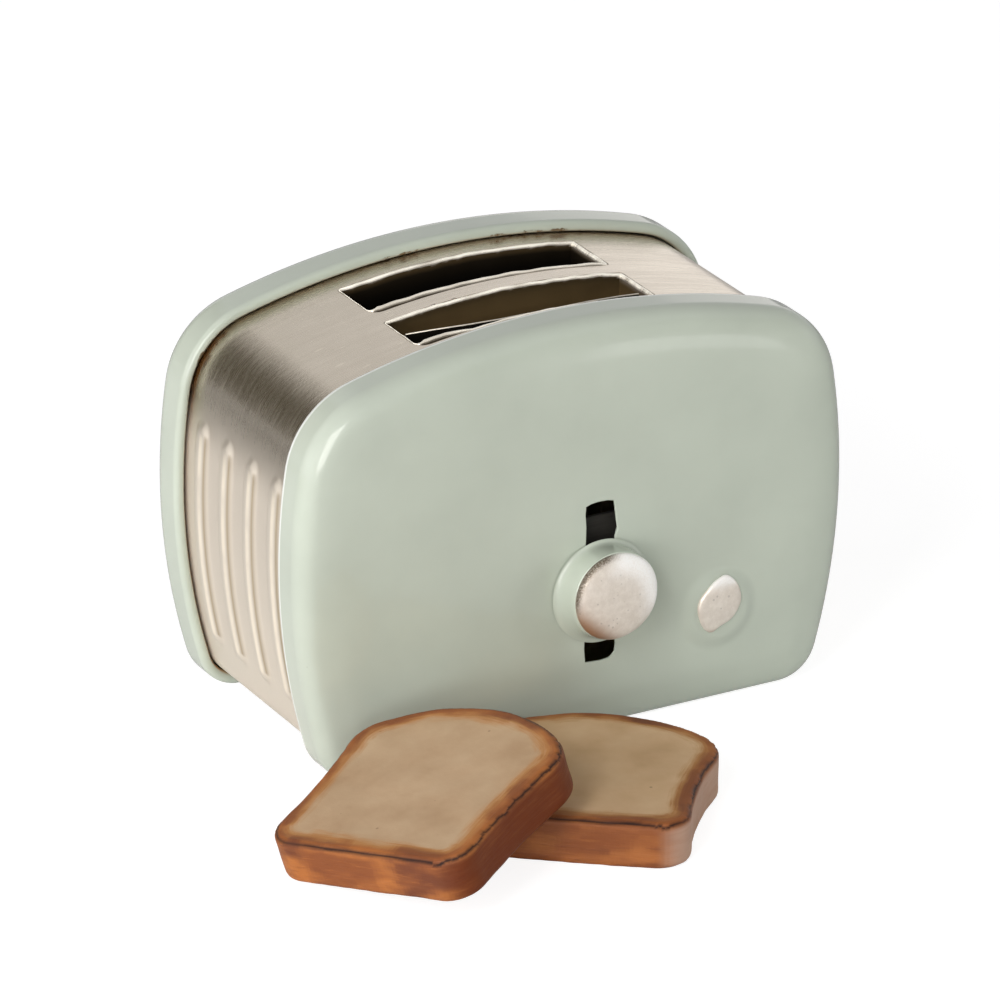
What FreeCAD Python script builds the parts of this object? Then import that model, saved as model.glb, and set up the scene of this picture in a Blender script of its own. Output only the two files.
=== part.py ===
import FreeCAD, Part
import math
import os

import Sketcher
from FreeCAD import Placement, Rotation, Vector

# Toy two-slot toaster with a sliding lever and two slices of toast.
# Millimetres. X runs along the long side, the lever is on the -Y face, +Z is up,
# and the origin is the middle of the footprint that the toaster stands on.

SIZES = [
    # the outline that both covers and the band share
    ("toaster_length", 55.0, "overall length of the covers"),
    ("toaster_height", 39.5, "overall height at the crown"),
    ("toaster_depth", 30.0, "outside to outside of the two covers"),
    ("side_radius", 62.0, "bow of the two ends"),
    ("side_centre_height", 19.9, "height at which the ends are widest"),
    ("crown_radius", 75.5, "bow of the top"),
    ("shoulder_radius", 8.7, "upper corners"),
    ("heel_radius", 4.2, "lower corners"),
    ("least_corner", 0.9, "least corner radius of an inset outline"),
    # pressed covers
    ("cover_wall", 0.8, "painted sheet of the covers"),
    ("cover_flange", 5.2, "depth of a cover from face to rim"),
    ("face_edge", 2.8, "rounding between face and flange"),
    # band between the covers
    ("band_inset", 1.2, "how far the covers stand proud of the band"),
    ("band_sheet", 0.5, "nickelled sheet of the band"),
    ("band_half_depth", 12.6, "middle to edge of the band"),
    ("hem_width", 3.6, "width of the band's turned-in edges"),
    ("bread_slot_length", 24.6, "clear length of a bread slot"),
    ("bread_slot_width", 6.4, "clear width of a bread slot"),
    ("bread_slot_pitch", 8.7, "middle to middle of the two slots"),
    ("slot_corner", 0.9, "corner radius of the bread slots"),
    ("lip_sheet", 0.4, "sheet of the turned-down slot lips"),
    ("lip_bottom", 35.4, "height of the lips' lower edge"),
    ("rib_pitch", 4.7, "spacing of the ribs on an end"),
    ("rib_low", 7.3, "height of a rib's lowest centre"),
    ("rib_high", 26.3, "height of a rib's highest centre"),
    ("rib_bar", 1.3, "section radius of a rib"),
    ("rib_rise", 0.6, "how far a rib stands out"),
    ("base_opening_half", 17.0, "half length of the opening in the underside"),
    # bottom plate
    ("base_sheet", 0.5, "sheet of the bottom plate"),
    ("base_lap", 3.0, "how far the bottom plate laps the band"),
    ("base_side_gap", 0.3, "bottom plate to the band's hems"),
    # bread wells
    ("well_sheet", 0.4, "sheet of the wells"),
    ("well_bottom", 9.0, "height of the wells' lower edge"),
    # fixings
    ("stud_radius", 0.6, "cover studs"),
    ("stud_length", 3.0, "stud tip behind the cover's inner face"),
    ("stud_low", 11.0, "height of the lower studs"),
    ("stud_high", 28.0, "height of the upper studs"),
    ("nut_radius", 1.2, "push-on nuts"),
    ("nut_sheet", 0.4, "thickness of the push-on nuts"),
    ("rivet_radius", 0.7, "small rivets"),
    ("rivet_head_radius", 1.2, "heads of the small rivets"),
    ("rivet_head", 0.35, "height of the small rivets' heads"),
    ("hole_clearance", 0.05, "radial room round rivets and studs"),
    # lever
    ("lever_slot_x", 1.95, "middle of the lever slot along the front"),
    ("lever_slot_low", 7.2, "bottom of the lever slot"),
    ("lever_slot_high", 22.4, "top of the lever slot"),
    ("lever_slot_width", 3.0, "width of the lever slot"),
    ("lever_slot_corner", 0.4, "corner radius of the lever slot"),
    ("lever_height", 14.4, "height of the lever as it stands"),
    ("lever_clearance", 0.1, "room between the lever and what it slides on"),
    ("knob_base_radius", 4.7, "flared foot of the knob"),
    ("knob_neck_radius", 4.15, "knob just under its cap"),
    ("knob_collar", 2.5, "height of the knob's collar"),
    ("knob_foot_edge", 0.3, "height of the flared foot's edge"),
    ("knob_waist_radius", 4.3, "knob where the flare begins"),
    ("knob_waist_height", 1.0, "height above the foot where the flare begins"),
    ("cap_radius", 4.2, "metal cap of the knob"),
    ("cap_edge", 0.75, "height of the cap's rounded edge"),
    ("cap_side", 0.25, "straight part of the cap's edge"),
    ("cap_flat_radius", 3.6, "cap inside its rounded edge"),
    ("cap_crown", 0.25, "bow of the cap's face"),
    ("lever_pin_head", 2.2, "riveted-over end of the lever pin"),
    ("washer_radius", 2.5, "spring washer"),
    ("washer_sheet", 0.25, "spring washer"),
    ("carriage_sheet", 0.4, "sheet of the carriage plate"),
    ("carriage_gap", 0.2, "carriage plate to the band's hem"),
    ("carriage_half_width", 5.6, "half width of the carriage plate"),
    ("carriage_below", 5.0, "carriage plate below the lever pin"),
    ("carriage_above", 6.0, "carriage plate above the lever pin"),
    ("shelf_rise", 2.4, "shelf above the lever pin"),
    ("shelf_sheet", 0.5, "sheet of the bread shelf"),
    ("shelf_arm_half", 2.2, "half width of the shelf's arm"),
    ("shelf_end_gap", 0.9, "shelf to the ends of a well"),
    ("shelf_side_gap", 0.6, "shelf to the sides of a well"),
    ("tab_half_width", 4.4, "half width of the shelf's riveted tab"),
    ("tab_below", 3.0, "tab below the lever pin"),
    # guide that the carriage runs in
    ("guide_sheet", 0.4, "sheet of the guide"),
    ("guide_top", 28.6, "top of the guide"),
    ("guide_rail_bottom", 5.6, "bottom of the guide's rails"),
    ("guide_web_y", 10.6, "front of the guide's web, in front of the middle"),
    ("guide_foot", 4.6, "length of the guide's foot"),
    ("guide_rivet_reach", 3.7, "middle of the lever to the guide's rivets"),
    ("arm_slot_half", 2.6, "half width of the slots that the arm runs in"),
    # dial spot
    ("spot_x", 14.0, "middle of the dial boss along the front"),
    ("spot_height", 9.6, "height of the dial boss"),
    ("boss_radius", 3.8, "foot of the dial boss"),
    ("boss_top_radius", 2.75, "flat top of the dial boss"),
    ("boss_rise", 0.45, "height of the dial boss"),
    ("spot_radius", 2.45, "dial spot"),
    ("spot_rise", 0.45, "height of the dial spot"),
    ("spot_flat_radius", 2.0, "flat face of the dial spot"),
    # toast
    ("toast_foot_x", 7.4, "middle line to the centre of a lower corner"),
    ("toast_base", 10.8, "base below the middle of a slice"),
    ("toast_foot_radius", 2.9, "lower corners of a slice"),
    ("toast_waist_radius", 38.0, "hollow of the sides"),
    ("toast_ear_x", 6.5, "middle line to the centre of an ear"),
    ("toast_ear_height", 4.5, "height of an ear's centre above the middle"),
    ("toast_ear_radius", 4.4, "round of the ears"),
    ("toast_crown_radius", 17.1, "bow of the crown"),
    ("toast_thickness", 4.4, "thickness of a slice"),
    ("toast_edge", 0.55, "rounded edges of a slice"),
    ("lower_toast_x", -6.85, "middle of the lower slice"),
    ("lower_toast_y", -28.3, "middle of the lower slice"),
    ("lower_toast_turn", -38.4, "degrees that the lower slice is turned"),
    ("upper_toast_x", -23.0, "middle of the upper slice's underside"),
    ("upper_toast_y", -30.6, "middle of the upper slice's underside"),
    ("upper_toast_z", 3.72, "middle of the upper slice's underside"),
    ("upper_toast_turn", -62.2, "degrees that the upper slice is turned"),
    ("upper_toast_tilt", 16.4, "degrees that the upper slice leans"),
    ("upper_toast_tilt_line", -33.3, "direction of the line it leans about, in the slice"),
]


class Size(float):
    """A size in millimetres that remembers the sheet formula it comes from."""

    def __new__(cls, value, formula):
        size = super().__new__(cls, value)
        size.formula = formula
        return size

    def __add__(self, other):
        return Size(float(self) + float(other), f"({self.formula} + {formula(other)})")

    def __sub__(self, other):
        return Size(float(self) - float(other), f"({self.formula} - {formula(other)})")

    def __mul__(self, other):
        return Size(float(self) * float(other), f"({self.formula} * {formula(other)})")

    def __truediv__(self, other):
        return Size(float(self) / float(other), f"({self.formula} / {formula(other)})")

    def __neg__(self):
        return Size(-float(self), f"(0 - {self.formula})")

    def __rmul__(self, other):
        return self * other


def formula(number):
    """The sheet formula of a size, or the number itself as text."""
    return getattr(number, "formula", repr(float(number)))


def root(size):
    """Square root of a size."""
    return Size(math.sqrt(float(size)), f"sqrt({formula(size)})")


doc = FreeCAD.newDocument("toy_toaster")
sheet = doc.addObject("Spreadsheet::Sheet", "Sizes")
for row, (alias, number, note) in enumerate(SIZES, start=1):
    sheet.set(f"A{row}", note)
    sheet.set(f"B{row}", str(number))
    sheet.setAlias(f"B{row}", alias)
doc.recompute()


class Sheet:
    """Reads the sheet's cells by name."""

    def __getattr__(self, alias):
        return Size(float(sheet.get(alias)), f"Sizes.{alias}")


S = Sheet()

# ---------------------------------------------------------------- worked-out sizes
half_length = S.toaster_length / 2
half_depth = S.toaster_depth / 2
rim_y = half_depth - S.cover_flange
cover_inner_y = half_depth - S.cover_wall
band_inner = S.band_inset + S.band_sheet
hem_inner_y = S.band_half_depth - S.band_sheet
slot_y = S.bread_slot_pitch / 2
lip_half_length = S.bread_slot_length / 2 + S.lip_sheet
lip_half_width = S.bread_slot_width / 2 + S.lip_sheet
well_half_length = lip_half_length + S.well_sheet
well_half_width = lip_half_width + S.well_sheet
base_top = band_inner + S.base_sheet
pin_radius = S.lever_slot_width / 2 - S.lever_clearance
travel_down = S.lever_height - S.lever_slot_low - pin_radius - S.lever_clearance
travel_up = S.lever_slot_high - S.lever_height - pin_radius - S.lever_clearance
knob_foot_y = half_depth + S.lever_clearance
knob_top_y = knob_foot_y + S.knob_collar
carriage_back_y = S.band_half_depth + S.carriage_gap
carriage_front_y = carriage_back_y + S.carriage_sheet
tab_back_y = carriage_back_y - S.shelf_sheet
shelf_bottom = S.lever_height + S.shelf_rise
shelf_top = shelf_bottom + S.shelf_sheet
arm_slot_top = shelf_top + travel_up + S.shelf_side_gap
arm_slot_bottom = shelf_bottom - travel_down - S.shelf_side_gap
guide_inner_half = S.carriage_half_width + S.lever_clearance
guide_half = guide_inner_half + S.guide_sheet
guide_back_y = S.guide_web_y - S.guide_sheet
stud_inset = S.face_edge + S.stud_radius + S.hole_clearance
small_hole = S.rivet_radius + S.hole_clearance


# ---------------------------------------------------------------- document helpers
def bind(thing, prop, size):
    """Ties a property to the sheet."""
    thing.setExpression(prop, formula(size))


def new_body(name):
    """A new sub-part modelled with PartDesign."""
    body = doc.addObject("PartDesign::Body", name)
    body.Label = name
    return body


def new_sketch(body, name, role, x=0.0, y=0.0, z=0.0):
    """A sketch on one of the body's origin planes, shifted in the sketch's own axes."""
    sketch = body.newObject("Sketcher::SketchObject", name)
    plane = [p for p in body.Origin.OriginFeatures if p.Role == role][0]
    sketch.AttachmentSupport = (plane, "")
    sketch.MapMode = "FlatFace"
    sketch.AttachmentOffset = Placement(Vector(x, y, z), Rotation())
    for axis, shift in (("x", x), ("y", y), ("z", z)):
        if isinstance(shift, Size):
            bind(sketch, f"AttachmentOffset.Base.{axis}", shift)
    return sketch


def constrain(sketch, kind, *where, size=None):
    """Adds a constraint, with its value tied to the sheet where it has one."""
    if size is None:
        sketch.addConstraint(Sketcher.Constraint(kind, *where))
        return
    index = sketch.addConstraint(Sketcher.Constraint(kind, *where, float(size)))
    bind(sketch, f"Constraints[{index}]", size)


def locate(sketch, geometry, end, x, y):
    """Puts one point of the sketch at x, y from its origin."""
    for kind, size, axis in (("DistanceX", x, -2), ("DistanceY", y, -1)):
        if abs(float(size)) < 1e-9:
            constrain(sketch, "PointOnObject", geometry, end, axis)
        elif size > 0:
            constrain(sketch, kind, -1, 1, geometry, end, size=size)
        else:
            constrain(sketch, kind, geometry, end, -1, 1, size=-size)


def polygon(sketch, points):
    """A closed outline of straight lines through the points."""
    count = len(points)
    first = sketch.GeometryCount
    for i in range(count):
        start = Vector(*map(float, points[i]))
        end = Vector(*map(float, points[(i + 1) % count]))
        sketch.addGeometry(Part.LineSegment(start, end), False)
    for i in range(count):
        constrain(sketch, "Coincident", first + i, 2, first + (i + 1) % count, 1)
        locate(sketch, first + i, 1, *points[i])


def arc_between(centre, radius, start, end):
    """An arc of a circle, anticlockwise between two directions in radians."""
    return Part.ArcOfCircle(Part.Circle(centre, Vector(0, 0, 1), float(radius)), start, end)


def rounded_rectangle(sketch, x, y, half_x, half_y, corner):
    """A rectangle about x, y with rounded corners."""
    inner_x = float(half_x) - float(corner)
    inner_y = float(half_y) - float(corner)
    quarter = math.pi / 2
    sides = (
        ((-inner_x, -half_y), (inner_x, -half_y)),
        ((half_x, -inner_y), (half_x, inner_y)),
        ((inner_x, half_y), (-inner_x, half_y)),
        ((-half_x, inner_y), (-half_x, -inner_y)),
    )
    middle = Vector(float(x), float(y))
    corners = ((inner_x, -inner_y), (inner_x, inner_y), (-inner_x, inner_y), (-inner_x, -inner_y))
    first = sketch.GeometryCount
    for i in range(4):
        start, end = (middle + Vector(*map(float, p)) for p in sides[i])
        sketch.addGeometry(Part.LineSegment(start, end), False)
        centre = middle + Vector(*corners[i])
        arc = arc_between(centre, corner, (i - 1) * quarter, i * quarter)
        sketch.addGeometry(arc, False)
    for i in range(4):
        line = first + 2 * i
        constrain(sketch, "Tangent", line, 2, line + 1, 1)
        constrain(sketch, "Tangent", line + 1, 2, first + (2 * i + 2) % 8, 1)
        constrain(sketch, "Horizontal" if i % 2 == 0 else "Vertical", line)
        if i:
            constrain(sketch, "Equal", first + 1, line + 1)
    constrain(sketch, "Radius", first + 1, size=corner)
    locate(sketch, first + 1, 3, x + half_x - corner, y - half_y + corner)
    locate(sketch, first + 5, 3, x - half_x + corner, y + half_y - corner)


def tangent_loop(sketch, edges, hollow=()):
    """Adds edges that run smoothly into each other. A hollow arc is drawn from its far end."""
    sketch.addGeometry(list(edges), False)
    count = len(edges)
    for i in range(count):
        following = (i + 1) % count
        end = 1 if i in hollow else 2
        start = 2 if following in hollow else 1
        constrain(sketch, "Tangent", i, end, following, start)


def outline(body, name, inset, y):
    """The toaster's outline, drawn inset from its outside, on an upright plane at y."""
    sketch = new_sketch(body, name, "XZ_Plane", z=-y)
    side_r = S.side_radius - inset
    crown_r = S.crown_radius - inset
    shoulder_r = max(S.shoulder_radius - inset, S.least_corner)
    heel_r = max(S.heel_radius - inset, S.least_corner)
    side_x = half_length - S.side_radius
    crown_y = S.toaster_height - S.crown_radius
    # heel: touches the flat underside and the end's arc
    heel_y = float(inset) + heel_r
    rise = heel_y - S.side_centre_height
    heel_x = side_x + math.sqrt((side_r - heel_r) ** 2 - rise**2)
    low = math.atan2(rise, heel_x - side_x)
    # shoulder: touches the end's arc and the crown's arc
    reach_side = float(side_r - shoulder_r)
    reach_crown = float(crown_r - shoulder_r)
    across, up = -float(side_x), float(crown_y - S.side_centre_height)
    apart = math.hypot(across, up)
    along = (reach_side**2 - reach_crown**2 + apart**2) / (2 * apart)
    off = math.sqrt(reach_side**2 - along**2)
    shoulder_x = float(side_x) + (along * across - off * up) / apart
    shoulder_y = float(S.side_centre_height) + (along * up + off * across) / apart
    high = math.atan2(shoulder_y - S.side_centre_height, shoulder_x - side_x)
    brow = math.atan2(shoulder_y - crown_y, shoulder_x)
    half_turn = math.pi
    underside = Part.LineSegment(Vector(-heel_x, inset), Vector(heel_x, inset))
    right, left = Vector(side_x, S.side_centre_height), Vector(-side_x, S.side_centre_height)
    arcs = (
        arc_between(Vector(heel_x, heel_y), heel_r, -half_turn / 2, low),
        arc_between(right, side_r, low, high),
        arc_between(Vector(shoulder_x, shoulder_y), shoulder_r, high, brow),
        arc_between(Vector(0, crown_y), crown_r, brow, half_turn - brow),
        arc_between(Vector(-shoulder_x, shoulder_y), shoulder_r, half_turn - brow, half_turn - high),
        arc_between(left, side_r, half_turn - high, half_turn - low),
        arc_between(Vector(-heel_x, heel_y), heel_r, half_turn - low, 1.5 * half_turn),
    )
    tangent_loop(sketch, (underside, *arcs))
    constrain(sketch, "Horizontal", 0)
    if float(inset) > 0:
        constrain(sketch, "DistanceY", -1, 1, 0, 1, size=inset)
    else:
        constrain(sketch, "PointOnObject", 0, 1, -1)
    for index, radius in ((1, heel_r), (2, side_r), (3, shoulder_r), (4, crown_r), (5, shoulder_r)):
        constrain(sketch, "Radius", index, size=radius)
    constrain(sketch, "Radius", 6, size=side_r)
    constrain(sketch, "Radius", 7, size=heel_r)
    locate(sketch, 2, 3, side_x, S.side_centre_height)
    locate(sketch, 6, 3, -side_x, S.side_centre_height)
    locate(sketch, 4, 3, 0.0, crown_y)
    return sketch


def pad(body, sketch, length, reverse=False, midplane=False):
    """Pads a sketch along its normal."""
    feature = body.newObject("PartDesign::Pad", f"{sketch.Name}_pad")
    feature.Profile = sketch
    bind(feature, "Length", length)
    feature.Reversed = reverse
    feature.Midplane = midplane
    doc.recompute()
    return feature


def pocket(body, sketch, length, reverse=False, midplane=False):
    """Cuts a sketch into the body and makes sure that it took something away."""
    before = body.Shape.Volume
    feature = body.newObject("PartDesign::Pocket", f"{sketch.Name}_pocket")
    feature.Profile = sketch
    bind(feature, "Length", length)
    feature.Reversed = reverse
    feature.Midplane = midplane
    doc.recompute()
    if not body.Shape.Volume < before - 1e-6:
        raise RuntimeError(f"{feature.Name} cuts nothing")
    return feature


def turn(body, sketch, cut=False):
    """Turns a sketch round its own vertical axis."""
    kind = "PartDesign::Groove" if cut else "PartDesign::Revolution"
    feature = body.newObject(kind, f"{sketch.Name}_turn")
    feature.Profile = sketch
    feature.ReferenceAxis = (sketch, ["V_Axis"])
    feature.Angle = 360.0
    doc.recompute()
    return feature


def round_edges(body, feature, radius, wanted):
    """Fillets the edges of a feature that the test picks."""
    names = [f"Edge{i}" for i, e in enumerate(feature.Shape.Edges, start=1) if wanted(e.BoundBox)]
    fillet = body.newObject("PartDesign::Fillet", f"{feature.Name}_fillet")
    fillet.Base = (feature, names)
    bind(fillet, "Radius", radius)
    doc.recompute()
    return fillet


def lies_at_y(y):
    """A test for edges that lie in the upright plane at y."""
    return lambda box: abs(box.YMin - y) < 1e-4 and abs(box.YMax - y) < 1e-4


def block(name, x, y, z, length, width, height):
    """A box given by its lowest corner."""
    box = doc.addObject("Part::Box", name)
    for prop, size in (("Length", length), ("Width", width), ("Height", height)):
        bind(box, prop, size)
    for axis, size in (("x", x), ("y", y), ("z", z)):
        bind(box, f"Placement.Base.{axis}", size)
    return box


def cylinder(name, x, y, z, radius, height, direction):
    """A cylinder that starts at x, y, z and runs along direction."""
    rod = doc.addObject("Part::Cylinder", name)
    bind(rod, "Radius", radius)
    bind(rod, "Height", height)
    rod.Placement = Placement(Vector(), Rotation(Vector(0, 0, 1), direction))
    for axis, size in (("x", x), ("y", y), ("z", z)):
        bind(rod, f"Placement.Base.{axis}", size)
    return rod


def fused(name, shapes):
    """Joins shapes into one."""
    joined = doc.addObject("Part::MultiFuse", name)
    joined.Shapes = shapes
    joined.Label = name
    doc.recompute()
    return joined


def cut(name, base, tool):
    """Cuts one shape out of another."""
    result = doc.addObject("Part::Cut", name)
    result.Base = base
    result.Tool = tool
    result.Label = name
    doc.recompute()
    return result


def together(name, shapes):
    """Keeps separate solids in one sub-part."""
    group = doc.addObject("Part::Compound", name)
    group.Links = shapes
    group.Label = name
    doc.recompute()
    return group


FRONT = Vector(0, -1, 0)
BACK = Vector(0, 1, 0)
UP = Vector(0, 0, 1)


# ---------------------------------------------------------------- pressed covers
def stud_places():
    """The four stud centres on the hems, as x and height."""
    reach = S.side_radius - stud_inset
    side_x = half_length - S.side_radius
    for height in (S.stud_low, S.stud_high):
        rise = height - S.side_centre_height
        x = side_x + root(reach * reach - rise * rise)
        yield x, height
        yield -x, height


def pressed_cover(name, side):
    """A deep-pressed cover: a flat face, rounded over into a flange. side is -1 in front."""
    body = new_body(name)
    rim = outline(body, f"{name}_rim", Size(0.0, "0"), side * rim_y)
    pad(body, rim, S.cover_flange, reverse=side > 0)
    hollow = outline(body, f"{name}_hollow", S.cover_wall, side * rim_y)
    shell = pocket(body, hollow, S.cover_flange - S.cover_wall, reverse=side < 0)
    inside_y = float(side * cover_inner_y)
    inner = round_edges(body, shell, S.face_edge - S.cover_wall, lies_at_y(inside_y))
    return body, round_edges(body, inner, S.face_edge, lies_at_y(float(side * half_depth)))


def front_cover():
    """The front cover, with the lever slot and the boss of the dial spot."""
    body, _ = pressed_cover("front_cover", -1)
    middle = (S.lever_slot_low + S.lever_slot_high) / 2
    half = (S.lever_slot_high - S.lever_slot_low) / 2
    slot = new_sketch(body, "lever_slot", "XZ_Plane", z=half_depth)
    width = S.lever_slot_width / 2
    rounded_rectangle(slot, S.lever_slot_x, middle, width, half, S.lever_slot_corner)
    pocket(body, slot, S.cover_wall * 2)
    boss = new_sketch(body, "dial_boss", "XY_Plane", x=S.spot_x, z=S.spot_height)
    foot_y = -half_depth
    polygon(
        boss,
        (
            (0.0, foot_y + S.cover_wall / 2),
            (0.0, foot_y - S.boss_rise),
            (S.boss_top_radius, foot_y - S.boss_rise),
            (S.boss_radius, foot_y),
            (S.boss_radius, foot_y + S.cover_wall / 2),
        ),
    )
    turn(body, boss)
    dimple = new_sketch(body, "dial_dimple", "XY_Plane", x=S.spot_x, z=S.spot_height)
    inner_y = -cover_inner_y
    polygon(
        dimple,
        (
            (0.0, inner_y + S.cover_wall / 2),
            (0.0, inner_y - S.boss_rise),
            (S.boss_top_radius - S.cover_wall / 2, inner_y - S.boss_rise),
            (S.boss_radius - S.cover_wall / 2, inner_y),
            (S.boss_radius - S.cover_wall / 2, inner_y + S.cover_wall / 2),
        ),
    )
    turn(body, dimple, cut=True)
    return body


def cover_studs():
    """Studs welded inside the covers, which pass through the band's hems."""
    studs = []
    for side, direction in ((-1, BACK), (1, FRONT)):
        for x, height in stud_places():
            name = f"stud_{len(studs)}"
            start_y = side * cover_inner_y
            studs.append(cylinder(name, x, start_y, height, S.stud_radius, S.stud_length, direction))
    return together("cover_studs", studs)


def push_nuts():
    """Push-on nuts that hold the studs behind the hems."""
    nuts = []
    for side, direction in ((-1, BACK), (1, FRONT)):
        for x, height in stud_places():
            name = f"nut_{len(nuts)}"
            y = side * hem_inner_y
            disc = cylinder(f"{name}_disc", x, y, height, S.nut_radius, S.nut_sheet, direction)
            hole = cylinder(f"{name}_hole", x, y, height, S.stud_radius, S.nut_sheet, direction)
            nuts.append(cut(name, disc, hole))
    return together("push_nuts", nuts)


def dial_spot():
    """The small metal-coloured button fixed on the boss."""
    body = new_body("dial_spot")
    sketch = new_sketch(body, "spot_section", "XY_Plane", x=S.spot_x, z=S.spot_height)
    seat_y = -half_depth - S.boss_rise
    polygon(
        sketch,
        (
            (0.0, seat_y),
            (S.spot_radius, seat_y),
            (S.spot_radius, seat_y - S.spot_rise / 2),
            (S.spot_flat_radius, seat_y - S.spot_rise),
            (0.0, seat_y - S.spot_rise),
        ),
    )
    turn(body, sketch)
    return body


# ---------------------------------------------------------------- band and bottom plate
def rib_bars(name, radius, swell):
    """Eight upright bars with round ends that follow the bow of the ends."""
    path = S.side_radius - S.band_inset - S.rib_bar + S.rib_rise
    side_x = half_length - S.side_radius
    low = math.degrees(math.asin((S.rib_low - S.side_centre_height) / path))
    high = math.degrees(math.asin((S.rib_high - S.side_centre_height) / path))
    bars = []
    for end in (-1, 1):
        for place in (-1.5, -0.5, 0.5, 1.5):
            tag = f"{name}_{len(bars) // 3}"
            bow = doc.addObject("Part::Torus", f"{tag}_bow")
            bind(bow, "Radius1", path)
            bind(bow, "Radius2", radius)
            bind(bow, "Angle3", Size(high - low, swell))
            start = low if end > 0 else 180.0 - high
            upright = Rotation(Vector(1, 0, 0), 90) * Rotation(UP, start)
            bow.Placement = Placement(Vector(), upright)
            bind(bow, "Placement.Base.x", side_x * end)
            bind(bow, "Placement.Base.y", S.rib_pitch * place)
            bind(bow, "Placement.Base.z", S.side_centre_height)
            bars.append(bow)
            for height in (S.rib_low, S.rib_high):
                ball = doc.addObject("Part::Sphere", f"{tag}_end")
                bind(ball, "Radius", radius)
                rise = height - S.side_centre_height
                bind(ball, "Placement.Base.x", (side_x + root(path * path - rise * rise)) * end)
                bind(ball, "Placement.Base.y", S.rib_pitch * place)
                bind(ball, "Placement.Base.z", height)
                bars.append(ball)
    return fused(name, bars)


def rib_sweep():
    """The angle that a rib covers, as a sheet formula in degrees."""
    path = S.side_radius - S.band_inset - S.rib_bar + S.rib_rise
    high = (S.rib_high - S.side_centre_height) / path
    low = (S.rib_low - S.side_centre_height) / path
    return f"(asin({high.formula}) - asin({low.formula}))"


def solid_outline(name, inset, depth):
    """A solid of the outline, as deep each side of the middle."""
    body = new_body(name)
    sketch = outline(body, f"{name}_sketch", inset, Size(0.0, "0"))
    pad(body, sketch, depth * 2, midplane=True)
    return body


def column(name, side, half_x, half_y, corner, bottom, top):
    """A rounded rectangular column through the bread slot on one side."""
    body = new_body(name)
    sketch = new_sketch(body, f"{name}_sketch", "XY_Plane", z=bottom)
    rounded_rectangle(sketch, Size(0.0, "0"), slot_y * side, half_x, half_y, corner)
    pad(body, sketch, top - bottom)
    return body


def base_rivet_places():
    """The four rivets of the bottom plate, as x and y."""
    x = S.base_opening_half + S.base_lap / 2
    y = hem_inner_y - S.base_lap * 1.5
    for end in (-1, 1):
        for side in (-1, 1):
            yield x * end, y * side


def body_band():
    """The wrap-round band: hems at both edges, ribs on the ends, lipped bread slots."""
    blank = solid_outline("band_blank", S.band_inset, S.band_half_depth)
    swell = rib_sweep()
    ribbed = fused("band_ribbed", [blank, rib_bars("ribs", S.rib_bar, swell)])
    above = S.toaster_height + S.lip_sheet
    lip_corner = S.slot_corner + S.lip_sheet
    lips = []
    slots = []
    for side, place in ((-1, "front"), (1, "rear")):
        size = (lip_half_length, lip_half_width, lip_corner)
        lips.append(column(f"{place}_lip", side, *size, S.lip_bottom, above))
        size = (S.bread_slot_length / 2, S.bread_slot_width / 2, S.slot_corner)
        slots.append(column(f"{place}_slot", side, *size, S.lip_bottom - S.lip_sheet, above))
    core = solid_outline("band_core", band_inner, hem_inner_y)
    tools = [cut("band_core_lipped", core, fused("lips", lips)), *slots]
    tools.append(rib_bars("grooves", S.rib_bar - S.band_sheet, swell))
    for side, place in ((-1, "front"), (1, "rear")):
        mouth = new_body(f"{place}_mouth")
        inset = band_inner + S.hem_width
        sketch = outline(mouth, f"{place}_mouth_sketch", inset, hem_inner_y * side)
        pad(mouth, sketch, S.band_sheet * 2, reverse=side > 0)
        tools.append(mouth)
    opening_y = hem_inner_y - S.base_lap
    across = S.base_opening_half
    ground = Size(0.0, "0")
    low = (-across, -opening_y, ground)
    tools.append(block("base_opening", *low, across * 2, opening_y * 2, band_inner * 2))
    for x, y in base_rivet_places():
        tools.append(cylinder("band_rivet_hole", x, y, ground, small_hole, base_top, UP))
    stud_hole = S.stud_radius + S.hole_clearance
    for x, height in stud_places():
        tools.append(
            cylinder("band_stud_hole", x, -half_depth, height, stud_hole, S.toaster_depth, BACK)
        )
    return cut("body_band", ribbed, fused("band_cuts", tools))


def base_plate():
    """The plate riveted over the opening in the band's underside."""
    across = S.base_opening_half + S.base_lap
    along = hem_inner_y - S.base_side_gap
    low = (-across, -along, band_inner)
    plate = block("base_sheet_blank", *low, across * 2, along * 2, S.base_sheet)
    holes = []
    for x, y in (*base_rivet_places(), *guide_rivet_places()):
        holes.append(cylinder("base_hole", x, y, band_inner, small_hole, S.base_sheet, UP))
    return cut("base_plate", plate, fused("base_holes", holes))


def rivet(name, x, y, bottom, top, direction=UP):
    """A small rivet: its shank from bottom to top along Z or Y, with a head at each end."""
    shank = top - bottom + S.rivet_head * 2
    parts = []
    if direction is UP:
        rod = (x, y, bottom - S.rivet_head)
        upper = (x, y, top)
    else:
        rod = (x, bottom - S.rivet_head, y)
        upper = (x, top, y)
    parts.append(cylinder(f"{name}_shank", *rod, S.rivet_radius, shank, direction))
    for place in (rod, upper):
        head = (S.rivet_head_radius, S.rivet_head)
        parts.append(cylinder(f"{name}_head", *place, *head, direction))
    return fused(name, parts)


def base_rivets():
    """Rivets of the bottom plate."""
    rivets = []
    for x, y in base_rivet_places():
        rivets.append(rivet(f"base_rivet_{len(rivets)}", x, y, S.band_inset, base_top))
    return together("base_rivets", rivets)


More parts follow.
